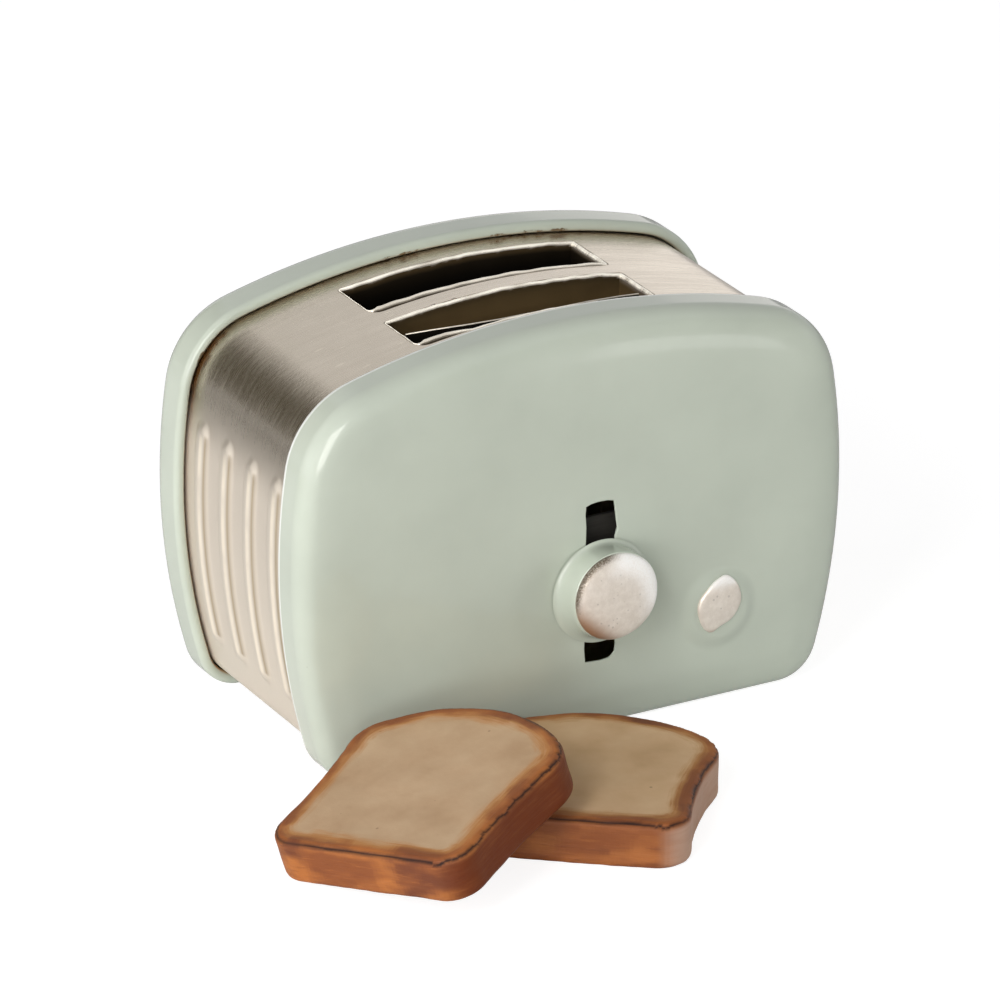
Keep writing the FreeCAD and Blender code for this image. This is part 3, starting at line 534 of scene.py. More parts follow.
def new_group(
    name: str, inputs: dict[str, object], output: str, kind: str
) -> tuple[Graph, bpy.types.NodeOutputs, bpy.types.Node]:
    """Makes an empty shader node group.

    Args:
        name: The group's name.
        inputs: Input names with their defaults: a number, or None for a vector, or a colour.
        output: The one output's name.
        kind: The output's socket type.

    Returns:
        The graph, what it is given, by name, and its output node.
    """
    tree = bpy.data.node_groups.new(name, "ShaderNodeTree")
    for label, default in inputs.items():
        taken = "NodeSocketFloat"
        if default is None:
            taken = "NodeSocketVector"
        elif isinstance(default, tuple):
            taken = "NodeSocketColor"
        socket = tree.interface.new_socket(label, in_out="INPUT", socket_type=taken)
        if default is not None:
            socket.default_value = default
    tree.interface.new_socket(output, in_out="OUTPUT", socket_type=kind)
    graph = Graph(tree)
    return graph, graph.add("NodeGroupInput").outputs, graph.add("NodeGroupOutput")


def make_specks() -> bpy.types.NodeTree:
    """Builds the group that scatters small round specks.

    Returns:
        A group with Vector, Scale, Size and Share inputs and a Mask output.
    """
    inputs = {"Vector": None, "Scale": 1000.0, "Size": 0.2, "Share": 0.3}
    graph, given, result = new_group("specks", inputs, "Mask", "NodeSocketFloat")
    cells = graph.add("ShaderNodeTexVoronoi", {"Vector": given["Vector"], "Scale": given["Scale"]})
    chance = graph.add("ShaderNodeSeparateColor", {"Color": cells.outputs["Color"]}).outputs
    kept = graph.sums("LESS_THAN", chance["Red"], given["Share"])
    size = graph.times(given["Size"], chance["Green"])
    inside = graph.sums("SUBTRACT", size, cells.outputs["Distance"])
    graph.feed(result, {"Mask": graph.times(graph.fade(inside, -0.02, 0.06), kept)})
    return graph.tree


def make_mottle() -> bpy.types.NodeTree:
    """Builds the group that clouds a colour in two tones.

    Returns:
        A group with Vector, Scale, Amount, Base, Light and Dark inputs and a Colour output.
    """
    white = (1.0, 1.0, 1.0, 1.0)
    inputs = {"Vector": None, "Scale": 200.0, "Amount": 1.0}
    inputs |= {"Base": white, "Light": white, "Dark": white}
    graph, given, result = new_group("mottle", inputs, "Colour", "NodeSocketColor")
    coarse = graph.noise(given["Vector"], given["Scale"], 3.0, 0.55)
    lighter = graph.times(graph.fade(coarse, 0.45, 0.75), given["Amount"])
    darker = graph.times(graph.fade(coarse, 0.52, 0.25), given["Amount"])
    first = graph.mix(lighter, given["Base"], given["Light"])
    graph.feed(result, {"Colour": graph.mix(darker, first, given["Dark"])})
    return graph.tree


def make_edge_wear() -> bpy.types.NodeTree:
    """Builds the group that breaks an edge mask into chips.

    Returns:
        A group with Vector, Edge, Scale and Amount inputs and a Mask output.
    """
    inputs = {"Vector": None, "Edge": 0.0, "Scale": 1500.0, "Amount": 0.5}
    graph, given, result = new_group("edge_wear", inputs, "Mask", "NodeSocketFloat")
    grain = graph.noise(given["Vector"], given["Scale"], 4.0, 0.65)
    total = graph.sums("ADD", grain, graph.times(given["Edge"], given["Amount"]))
    graph.feed(result, {"Mask": graph.fade(total, 0.98, 1.08)})
    return graph.tree


SPECKS = make_specks()
MOTTLE = make_mottle()
EDGE_WEAR = make_edge_wear()


def specks(
    graph: Graph, vector: bpy.types.NodeSocket, scale: float, size: float, share: float
) -> bpy.types.NodeSocket:
    """Scatters specks over a finish.

    Args:
        graph: The finish's graph.
        vector: The place to take them at.
        scale: How close together they can lie.
        size: The largest speck's size in cells.
        share: How many cells have one.

    Returns:
        Their mask.
    """
    return graph.group(SPECKS, {"Vector": vector, "Scale": scale, "Size": size, "Share": share})


def mottle(
    graph: Graph, vector: bpy.types.NodeSocket, scale: float, tones: tuple, amount: float = 1.0
) -> bpy.types.NodeSocket:
    """Clouds a finish's colour.

    Args:
        graph: The finish's graph.
        vector: The place to take the clouds at.
        scale: How small they are.
        tones: The colour itself, its light clouds and its dark ones.
        amount: How strongly they show, from 0 to 1.

    Returns:
        The clouded colour.
    """
    base, light, dark = tones
    inputs = {"Vector": vector, "Scale": scale, "Amount": amount}
    return graph.group(MOTTLE, inputs | {"Base": base, "Light": light, "Dark": dark})


# ---------------------------------------------------------------- finishes


def new_material(name: str) -> tuple[bpy.types.Material, Graph, bpy.types.Node]:
    """Makes a material with a bare Principled shader.

    Args:
        name: The material's name.

    Returns:
        The material, its graph and its shader node.
    """
    material = bpy.data.materials.new(name)
    material.use_nodes = True
    graph = Graph(material.node_tree)
    return material, graph, material.node_tree.nodes["Principled BSDF"]


@dataclass(frozen=True)
class Enamel:
    """Baked enamel on pressed sheet: satin gloss, faint orange peel, dust specks, chipped edges."""

    name: str
    colour: Rgba
    chips: float = 0.5
    roughness: float = 0.24
    coat_roughness: float = 0.07

    def material(self) -> bpy.types.Material:
        """Builds the finish; the piece carries the masks of the edge chips, the bare line and the
        painted highlight behind the front cover's edge.
        """
        material, graph, shader = new_material(self.name)
        where = graph.object_space()
        tones = (self.colour, toned(self.colour, 1.05), toned(self.colour, 0.95))
        base = mottle(graph, where, 90.0, tones)
        dust = specks(graph, where, 330.0, 0.05, 0.35)
        dusted = graph.mix(graph.times(dust, 0.45), base, srgb(96, 96, 84))
        wear = {"Vector": where, "Edge": graph.mask("edge"), "Scale": 900.0, "Amount": self.chips}
        chipped = graph.group(EDGE_WEAR, wear)
        chip_wear_and_crest_highlight = graph.mix(chipped, dusted, srgb(104, 88, 60))
        bared = graph.mix(graph.mask("bare"), chip_wear_and_crest_highlight, srgb(170, 128, 76))
        rolling = graph.bump(graph.noise(where, 110.0, 1.0, 0.4), 0.035 * MM)
        peel = graph.bump(graph.noise(where, 700.0, 2.0, 0.5), 0.0012 * MM, rolling)
        values = {
            # Painted highlight: a near-white band on the front cover's outer wall next to its rim.
            "Base Color": graph.mix(graph.mask("painted_rim_highlight"), bared, srgb(228, 231, 224)),
            "Roughness": graph.fade(chipped, 0.0, 1.0, self.roughness, 0.55),
            "Coat Weight": 0.7,
            "Coat Roughness": self.coat_roughness,
            "Specular IOR Level": 0.3,
            "Normal": graph.bump(graph.sums("SUBTRACT", 1.0, chipped), 0.03 * MM, peel),
        }
        graph.feed(shader, values)
        return material


@dataclass(frozen=True)
class BrushedNickel:
    """Nickelled sheet, brushed round the band, with clouded streaks and scuffs, and with light and
    shade painted on its ribs, ends and slots.
    """

    name: str = "brushed nickel"
    tint: Rgba = srgb(218, 207, 193)
    dull: Rgba = srgb(206, 195, 181)
    # Painted shade: the band is painted darker towards its left end.
    left: Rgba = srgb(196, 186, 171)
    # Light scuffs, and the painted highlight along each rib's crest.
    crest: Rgba = srgb(244, 234, 214)
    # Painted shade: a darker line beside each rib.
    flank: Rgba = srgb(150, 132, 102)
    # Painted light: the ends are painted lighter, where their finish is also duller.
    end: Rgba = srgb(214, 205, 190)
    roughness: float = 0.26

    def material(self) -> bpy.types.Material:
        """Builds the finish; the piece carries "lay" and the masks of Band."""
        material, graph, shader = new_material(self.name)
        lay = graph.vector("lay")
        fine = graph.noise(graph.stretch(lay, (300.0, 300.0, 7000.0)), 1.0, 3.0, 0.65)
        broad = graph.noise(graph.stretch(lay, (90.0, 90.0, 1300.0)), 1.0, 4.0, 0.65)
        cloud = graph.noise(lay, 260.0, 3.0, 0.6)
        streaked = graph.mix(graph.fade(broad, 0.35, 0.65), self.dull, self.tint)
        place = graph.add("ShaderNodeSeparateXYZ", {"Vector": lay}).outputs["X"]
        # Painted shade: clouded darkening towards the band's left end.
        painted_shade_to_left = graph.fade(place, 6.0 * MM, -20.0 * MM)
        clouded = graph.times(painted_shade_to_left, graph.fade(cloud, 0.2, 0.8, 0.6, 1.0))
        shaded_to_left = graph.mix(clouded, streaked, self.left)
        # Painted light: the ends below the shoulders are painted lighter, and made less metallic
        # and rougher.
        matte = graph.mask("matte")
        base = graph.mix(matte, shaded_to_left, self.end)
        scuffs = specks(graph, graph.stretch(lay, (0.35, 0.35, 1.0)), 1500.0, 0.3, 0.25)
        scuffs = graph.times(scuffs, graph.fade(matte, 0.0, 0.6, 0.2, 0.0))
        scuffed = graph.mix(scuffs, base, self.crest)
        # Painted highlight: a light line along each rib's crest, clouded.
        chip_wear_and_crest_highlight = graph.times(graph.mask("crest"), graph.fade(cloud, 0.2, 0.6, 0.5, 1.0))
        crested = graph.mix(chip_wear_and_crest_highlight, scuffed, self.crest)
        # Painted shade: a darker line beside each rib.
        shaded = graph.mix(graph.times(graph.mask("flank"), 0.75), crested, self.flank)
        # Painted shade: brown on the slot lips' walls, under their edges and on the well rim.
        grime = graph.mask("grime")
        # Painted light: the brown is painted lighter deep in the front slot.
        brown = graph.mix(graph.mask("painted_deep_lightening"), srgb(62, 50, 32), srgb(112, 92, 60))
        recess_shaded = graph.mix(grime, shaded, brown)
        # Painted shadow: black deep in the rear slot and below the well rim's top.
        sooty = graph.mix(graph.mask("soot"), recess_shaded, srgb(16, 13, 9))
        # Painted highlight: the lips' bends and the well rim's top are painted near white and glow
        # faintly.
        bright = graph.mask("bright")
        metal = graph.fade(grime, 0.2, 0.9, 1.0, 0.0)
        metal = graph.times(metal, graph.fade(bright, 0.0, 1.0, 1.0, 0.15))
        metal = graph.times(metal, graph.fade(matte, 0.0, 1.0, 1.0, 0.4))
        lowered = graph.fade(fine, 0.25, 0.75, self.roughness - 0.06, self.roughness + 0.06)
        rougher = graph.sums("MAXIMUM", graph.sums("MAXIMUM", chip_wear_and_crest_highlight, grime), matte)
        scratched = graph.bump(fine, 0.004 * MM)
        waved = graph.bump(broad, 0.010 * MM, scratched)
        grain = graph.noise(graph.object_space(), 4200.0, 2.0, 0.6)
        values = {
            "Base Color": graph.mix(bright, sooty, srgb(255, 250, 236)),
            "Emission Color": srgb(255, 246, 228),
            "Emission Strength": graph.times(bright, 0.2),
            "Metallic": metal,
            "Specular IOR Level": graph.fade(grime, 0.2, 0.9, 0.5, 0.1),
            "Roughness": graph.add("ShaderNodeMix", {0: rougher, 2: lowered, 3: 0.46}).outputs[0],
            "Normal": graph.bump(grain, 0.007 * MM, waved),
        }
        graph.feed(shader, values)
        return material


@dataclass(frozen=True)
class ChampagnePaint:
    """Champagne metallic paint with a fine sparkle, browner low down, with painted shade along a
    rim and a painted highlight.
    """

    name: str = "champagne paint"
    colour: Rgba = srgb(240, 231, 219)
    # The brown low down; on the knob's cap it is painted shade.
    lower_brown: Rgba = srgb(150, 104, 66)

    def material(self) -> bpy.types.Material:
        """Builds the finish; the piece carries the masks of its lower brown, its painted rim shade
        and its painted highlight ("shine").
        """
        material, graph, shader = new_material(self.name)
        where = graph.object_space()
        cloud = graph.noise(where, 1400.0, 3.0, 0.6)
        flakes = graph.noise(where, 7000.0, 2.0, 0.7)
        tone = graph.mix(graph.fade(cloud, 0.35, 0.7), srgb(230, 220, 207), self.colour)
        pits = specks(graph, where, 2600.0, 0.32, 0.3)
        pitted = graph.mix(graph.times(pits, 0.3), tone, srgb(140, 128, 116))
        # Browner on the lower side: painted shade on the knob's cap.
        lower_browned = graph.mix(graph.mask("lower_brown"), pitted, self.lower_brown)
        # Painted shade: a dark, grainy band along a rim.
        grainy_rim_shade = graph.times(graph.mask("rim"), graph.fade(flakes, 0.3, 0.6, 0.6, 1.0))
        rim_shaded = graph.mix(grainy_rim_shade, lower_browned, srgb(96, 84, 68))
        shine = graph.times(graph.mask("shine"), graph.fade(flakes, 0.7, 0.4, 0.7, 1.0))
        rough = graph.bump(flakes, 0.018 * MM)
        values = {
            "Base Color": graph.mix(shine, rim_shaded, srgb(255, 254, 250)),
            "Metallic": graph.fade(shine, 0.0, 1.0, 0.4, 0.0),
            "Roughness": graph.fade(flakes, 0.3, 0.7, 0.28, 0.5),
            "Normal": graph.bump(cloud, 0.02 * MM, rough),
        }
        graph.feed(shader, values)
        return material


@dataclass(frozen=True)
class Tin:
    """Bare or darkened tinplate inside the toaster."""

    name: str
    colour: Rgba
    roughness: float = 0.42
    metallic: float = 1.0

    def material(self) -> bpy.types.Material:
        """Builds the finish on the node's own mesh."""
        material, graph, shader = new_material(self.name)
        where = graph.object_space()
        dark = toned(self.colour, 0.62)
        clouds = mottle(graph, where, 420.0, (self.colour, toned(self.colour, 1.25), dark))
        stains = specks(graph, where, 900.0, 0.3, 0.3)
        rolled = graph.noise(graph.stretch(where, (300.0, 300.0, 3200.0)), 1.0, 3.0, 0.6)
        smooth, rough = self.roughness - 0.08, self.roughness + 0.1
        values = {
            "Base Color": graph.mix(graph.times(stains, 0.35), clouds, dark),
            "Metallic": self.metallic,
            "Roughness": graph.fade(rolled, 0.25, 0.75, smooth, rough),
            "Normal": graph.bump(rolled, 0.01 * MM),
        }
        graph.feed(shader, values)
        return material


@dataclass(frozen=True)
class PaintedToast:
    """Hand-painted toast: matte tan crumb, brushed orange-brown crust, painted shade in the crease
    at the rim and painted side lighting on one side.
    """

    name: str
    seed: float
    # Painted light and shade: the tone of the slice's right side.
    painted_side_lighting: Rgba
    crumb: Rgba = srgb(189, 159, 126)
    crumb_light: Rgba = srgb(199, 171, 138)
    crumb_dark: Rgba = srgb(174, 143, 110)
    ochre: Rgba = srgb(182, 128, 74)
    crust: Rgba = srgb(150, 86, 46)
    crust_light: Rgba = srgb(184, 112, 58)
    crust_dark: Rgba = srgb(108, 60, 38)
    # Painted shade in the crease along the rim.
    painted_crease_shade: Rgba = srgb(36, 18, 12)
    border: float = 1.7

    def material(self) -> bpy.types.Material:
        """Builds the finish; the piece carries "inward", "brush", the mask of the painted crease
        shade and "turned", the side that takes the painted side lighting.
        """
        material, graph, shader = new_material(self.name)
        where = graph.object_space()
        inputs = {"Vector": graph.vector("brush"), "Location": (self.seed,) * 3}
        brush = graph.add("ShaderNodeMapping", inputs).outputs["Vector"]
        stroke = graph.noise(graph.stretch(brush, (330.0, 330.0, 3600.0)), 1.0, 4.0, 0.6)
        patch = graph.noise(graph.stretch(brush, (210.0, 210.0, 420.0)), 1.0, 2.0, 0.5)
        shade = graph.noise(graph.stretch(brush, (120.0, 120.0, 260.0)), 1.0, 3.0, 0.6)
        tones = (self.crumb, self.crumb_light, self.crumb_dark)
        crumb = mottle(graph, where, 190.0, tones, 0.8)
        dots = specks(graph, where, 950.0, 0.16, 0.16)
        crumbs = graph.mix(graph.times(dots, 0.5), crumb, srgb(120, 92, 66))
        ragged = graph.sums("ADD", graph.mask("inward"), graph.fade(stroke, 0.2, 0.8, -0.28, 0.28))
        uneven = graph.sums("ADD", ragged, graph.fade(patch, 0.25, 0.75, -0.35, 0.35))
        halo = graph.fade(uneven, self.border + 0.7, self.border - 0.35)
        solid = graph.fade(uneven, self.border + 0.1, self.border - 0.9)
        tone = graph.mix(graph.fade(patch, 0.38, 0.7), self.crust, self.crust_light)
        deep = graph.mix(graph.fade(shade, 0.5, 0.72), tone, self.crust_dark)
        streaked = graph.mix(graph.fade(stroke, 0.52, 0.8, 0.0, 0.6), deep, self.crust_dark)
        glazed = graph.mix(graph.fade(stroke, 0.45, 0.2, 0.0, 0.5), streaked, self.crust_light)
        edged = graph.mix(graph.times(halo, 0.9), crumbs, self.ochre)
        covered = graph.mix(solid, edged, glazed)
        # Painted light and shade: the slice's right side takes its own tone, shade on the leaning
        # slice, sheen on the flat one.
        away = graph.times(graph.mask("turned"), graph.fade(stroke, 0.2, 0.6, 0.75, 0.95))
        painted = graph.mix(away, covered, self.painted_side_lighting)
        bristles = graph.bump(graph.times(stroke, solid), 0.05 * MM)
        values = {
            # Painted shade in the crease along the rim.
            "Base Color": graph.mix(graph.mask("painted_crease_shade"), painted, self.painted_crease_shade),
            "Roughness": graph.fade(solid, 0.0, 1.0, 0.78, 0.56),
            "Coat Weight": graph.times(solid, 0.05),
            "Coat Roughness": 0.35,
            "Specular IOR Level": 0.25,
            "Normal": graph.bump(graph.noise(where, 1600.0, 4.0, 0.65), 0.02 * MM, bristles),
        }
        graph.feed(shader, values)
        return material


# ---------------------------------------------------------------- covers


@dataclass
class Cover:
    """One deep-pressed, enamelled cover: a softly crowned face, a rounded edge, a painted rim."""

    outline: CoverOutline
    node: str = "rear_cover"
    front: bool = False
    wall: float = 0.8 * MM
    lip_width: float = 1.04 * MM
    edge_radius: float = 2.05 * MM
    brow_radius: float = 18.0 * MM
    brow_spread: float = math.radians(11.0)
    full_inset: float = 3.0 * MM
    crown: float = 0.12 * MM
    spacing: float = 0.5 * MM
    edge_steps: int = 30
    face_rings: int = 30
    bead_rise: float = 0.62 * MM
    # Where the painted highlight on the front cover's outer wall fades out; also a ring of the
    # section.
    painted_rim_highlight_rise: float = 0.72 * MM
    rim_zone: float = 1.0 * MM
    marked_zone: float = 1.2 * MM
    top_widening: float = 0.08
    foot_narrowing: float = 0.55
    flaw_seed: float = 8.7
    proud: float = 0.0

    def __post_init__(self) -> None:
        """Reads the cover's depth from the frame, without what stands proud of the face."""
        low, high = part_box(self.node)
        self.face = low.y + self.proud if self.front else high.y
        self.rim = high.y if self.front else low.y
        self.depth = abs(self.rim - self.face)

    def bend(self) -> list[tuple[float, float, float]]:
        """Rolls the edge's outer section from the face, where it bends little, to the wall.

        Returns:
            Inset, depth and steepness of each point, from the wall to the face.
        """
        step = math.pi / 2 / self.edge_steps
        reach, depth = 0.0, self.crown
        found = [(reach, depth, 0.0)]
        for count in range(self.edge_steps):
            turn = (count + 0.5) * step
            brow = self.brow_radius * math.exp(-((turn / self.brow_spread) ** 2))
            radius = self.edge_radius + brow
            reach += radius * math.cos(turn) * step
            depth += radius * math.sin(turn) * step
            found.append((reach, depth, (count + 1) * step))
        return [(reach - place, depth, turn) for place, depth, turn in reversed(found)]

    def profile(self) -> list[tuple[float, float]]:
        """Gives the sheet's section as inset and depth, from inside the face round to outside.

        Returns:
            Pairs of inset from the outline and depth behind the face's highest point.
        """
        outer = self.bend()
        inner = [
            (inset + self.wall * math.sin(turn), depth + self.wall * math.cos(turn))
            for inset, depth, turn in reversed(outer)
        ]
        lip = self.lip_width / 2
        bead = [
            (self.wall, self.depth - 1.3 * MM),
            (self.lip_width - 0.1 * MM, self.depth - 0.9 * MM),
        ]
        bead += [
            (lip + lip * math.cos(turn), self.depth - lip + lip * math.sin(turn))
            for turn in (math.pi * step / 10 for step in range(11))
        ]
        bead += [(0.0, self.depth - rise) for rise in (self.bead_rise, self.painted_rim_highlight_rise)]
        return inner + bead + [(inset, depth) for inset, depth, _ in outer]

    def shell(self) -> bpy.types.Object:
        """Extrudes the closed shell round the outline."""
        base = self.outline.sample(self.spacing)
        way = 1.0 if self.front else -1.0
        rings = []
        for inset, depth in self.profile():
            level = self.face + way * depth
            rings.append([self.place(p, n, inset, level) for p, n in base])
        middle = Vector((0.0, 0.0, self.outline.height / 2))
        edge = rings[-1]
        for step in range(1, self.face_rings + 1):
            share = 1.0 - step / (self.face_rings + 0.5)
            level = self.face + way * self.crown * share**2
            ring = []
            for point in edge:
                flat = middle + (point - middle) * share
                flat.y = level
                ring.append(flat)
            rings.append(ring)
        return loft(self.node + "_shell", rings)

    def place(self, point: Vector, normal: Vector, inset: float, level: float) -> Vector:
        """Puts a point of the outline at an inset and level.

        The bead is wider along the top, and the brow narrower along the foot, where the heels
        leave less room.
        """
        if abs(level - self.rim) < self.rim_zone and inset > self.lip_width / 2:
            inset *= 1.0 + self.top_widening * (1.0 - abs(normal.x))
        elif inset > self.full_inset:
            foot = ramp(-normal.y, 0.0, 0.25)
            inset -= self.foot_narrowing * foot * (inset - self.full_inset)
        return Vector((point.x - inset * normal.x, level, point.y - inset * normal.y))

    def mark_edges(self, piece: bpy.types.Object) -> None:
        """Writes the rim's chips and bare line, and the painted highlight behind the front cover's
        edge.
        """
        points = coordinates(piece)
        behind = np.abs(points[:, 1] - self.face)
        base = self.outline.sample(self.spacing)
        places = np.array([tuple(place) for place, _ in base])
        outwards = np.array([tuple(way) for _, way in base])
        inset = np.zeros(len(points))
        for index in np.flatnonzero(behind > self.depth - self.marked_zone):
            away = places - points[index, [0, 2]]
            nearest = (away**2).sum(axis=1).argmin()
            inset[index] = away[nearest] @ outwards[nearest]
        inner = smooth_step(inset, self.lip_width - 0.75 * MM, self.lip_width - 0.25 * MM)
        flawed = 0.5 + 0.5 * waver(points, 7.0 * MM, self.flaw_seed)
        write_mask(piece, "edge", inner * smooth_step(flawed, 0.3, 0.55))
        line = smooth_step(inset, self.lip_width - 0.22 * MM, self.lip_width - 0.10 * MM)
        low_left = smooth_step(-points[:, 0], 21.0 * MM, 24.0 * MM)
        write_mask(piece, "bare", line * np.maximum(low_left, 0.35))
        # Painted highlight: a near-white band on the front cover's outer wall next to its rim.
        outside = smooth_step(behind, self.depth - self.painted_rim_highlight_rise, self.depth - self.bead_rise)
        outside *= 1.0 - smooth_step(inset, 0.12 * MM, 0.2 * MM)
        write_mask(piece, "painted_rim_highlight", outside if self.front else 0.0 * outside)

    def build(self, finish: bpy.types.Material) -> None:
        """Makes and settles the cover."""
        piece = self.shell()
        self.mark_edges(piece)
        settle(piece, Body.HOUSING, finish, [self.node])


@dataclass
class FrontCover(Cover):
    """The front cover, with the hand-filed lever slot and the low boss for the dial spot."""

    node: str = "front_cover"
    front: bool = True
    slot_outline: tuple[tuple[float, float], ...] = (
        (0.50, 22.30), (0.95, 22.45), (1.60, 22.55), (2.60, 22.52), (3.32, 22.34), (3.40, 21.70),
        (3.52, 20.70), (3.68, 19.60), (3.42, 18.90), (3.46, 16.00), (3.42, 12.00), (3.40, 9.20),
        (3.50, 8.50), (3.42, 7.70), (2.95, 7.20), (2.00, 7.10), (1.20, 7.16), (0.42, 7.22),
        (0.32, 8.60), (0.44, 10.50), (0.42, 14.00), (0.46, 18.00), (0.52, 20.40), (0.44, 21.50),
    )
    slot_middle: tuple[float, float] = (1.95, 14.8)
    slot_core: tuple[float, float] = (1.2, 6.5)
    boss_foot: float = 4.1 * MM
    boss_top: float = 2.5 * MM
    face_zone: float = 0.4 * MM
    flaw_seed: float = 3.1
    proud: float = 0.45 * MM
    lip: float = 0.08 * MM
    thinned: float = 0.22 * MM

    def slot_tool(self) -> bpy.types.Object:
        """Makes the prism that cuts the slot: its uneven, filed outline, relieved behind."""
        edge = self.lip / MM
        sections = (
            (-1.0, edge), (0.01, edge), (0.01 + edge, 0.0), (self.thinned / MM, 0.0), (0.5, 0.45),
            (3.0, 0.6),
        )

        def moved(value: float, middle: float, core: float, grow: float) -> float:
            away = value - middle
            return value + (math.copysign(grow, away) if abs(away) > core else 0.0)

        rings = []
        for level, grow in sections:
            ring = []
            for point in self.slot_outline:
                x, z = map(moved, point, self.slot_middle, self.slot_core, (grow, grow))
                ring.append(Vector((x * MM, self.face + level * MM, z * MM)))
            rings.append(ring)
        return loft("slot_tool", rings)

    def raise_boss(self, piece: bpy.types.Object) -> None:
        """Presses the low round boss out of the face."""
        reach = self.boss_foot + 0.6 * MM

        def near_boss(edge: bmesh.types.BMEdge) -> bool:
            middle = (edge.verts[0].co + edge.verts[1].co) / 2
            away = math.hypot(middle.x - BOSS_CENTRE.x, middle.z - BOSS_CENTRE.y)
            return abs(middle.y - self.face) <= self.face_zone and away < reach

        with edit_mode(piece):
            bpy.ops.mesh.select_mode(type="EDGE")
            select_edges(piece, near_boss)
            bpy.ops.mesh.subdivide(number_cuts=2)
        points = coordinates(piece)
        away = np.hypot(points[:, 0] - BOSS_CENTRE.x, points[:, 2] - BOSS_CENTRE.y)
        on_face = np.abs(points[:, 1] - self.face) < self.face_zone
        rise = 1.0 - smooth_step(away, self.boss_top, self.boss_foot)
        points[:, 1] -= self.proud * rise * on_face
        set_coordinates(piece, points)

    def build(self, finish: bpy.types.Material) -> None:
        """Makes and settles the cover with its boss and slot."""
        piece = self.shell()
        self.raise_boss(piece)
        carve(piece, self.slot_tool())
        self.mark_edges(piece)
        settle(piece, Body.HOUSING, finish, [self.node])
        apply_modifier(piece, "WEIGHTED_NORMAL", keep_sharp=True, weight=50)


def circle(centre: Vector, radius: float, level: float, count: int) -> Ring:
    """Gives a ring of points about a line along Y.

    Args:
        centre: The line's x and z.
        radius: The ring's radius.
        level: The ring's y.
        count: How many points.

    Returns:
        The points.
    """
    turns = [math.tau * step / count for step in range(count)]
    return [
        Vector((centre.x + radius * math.cos(t), level, centre.y + radius * math.sin(t)))
        for t in turns
    ]


# ---------------------------------------------------------------- band


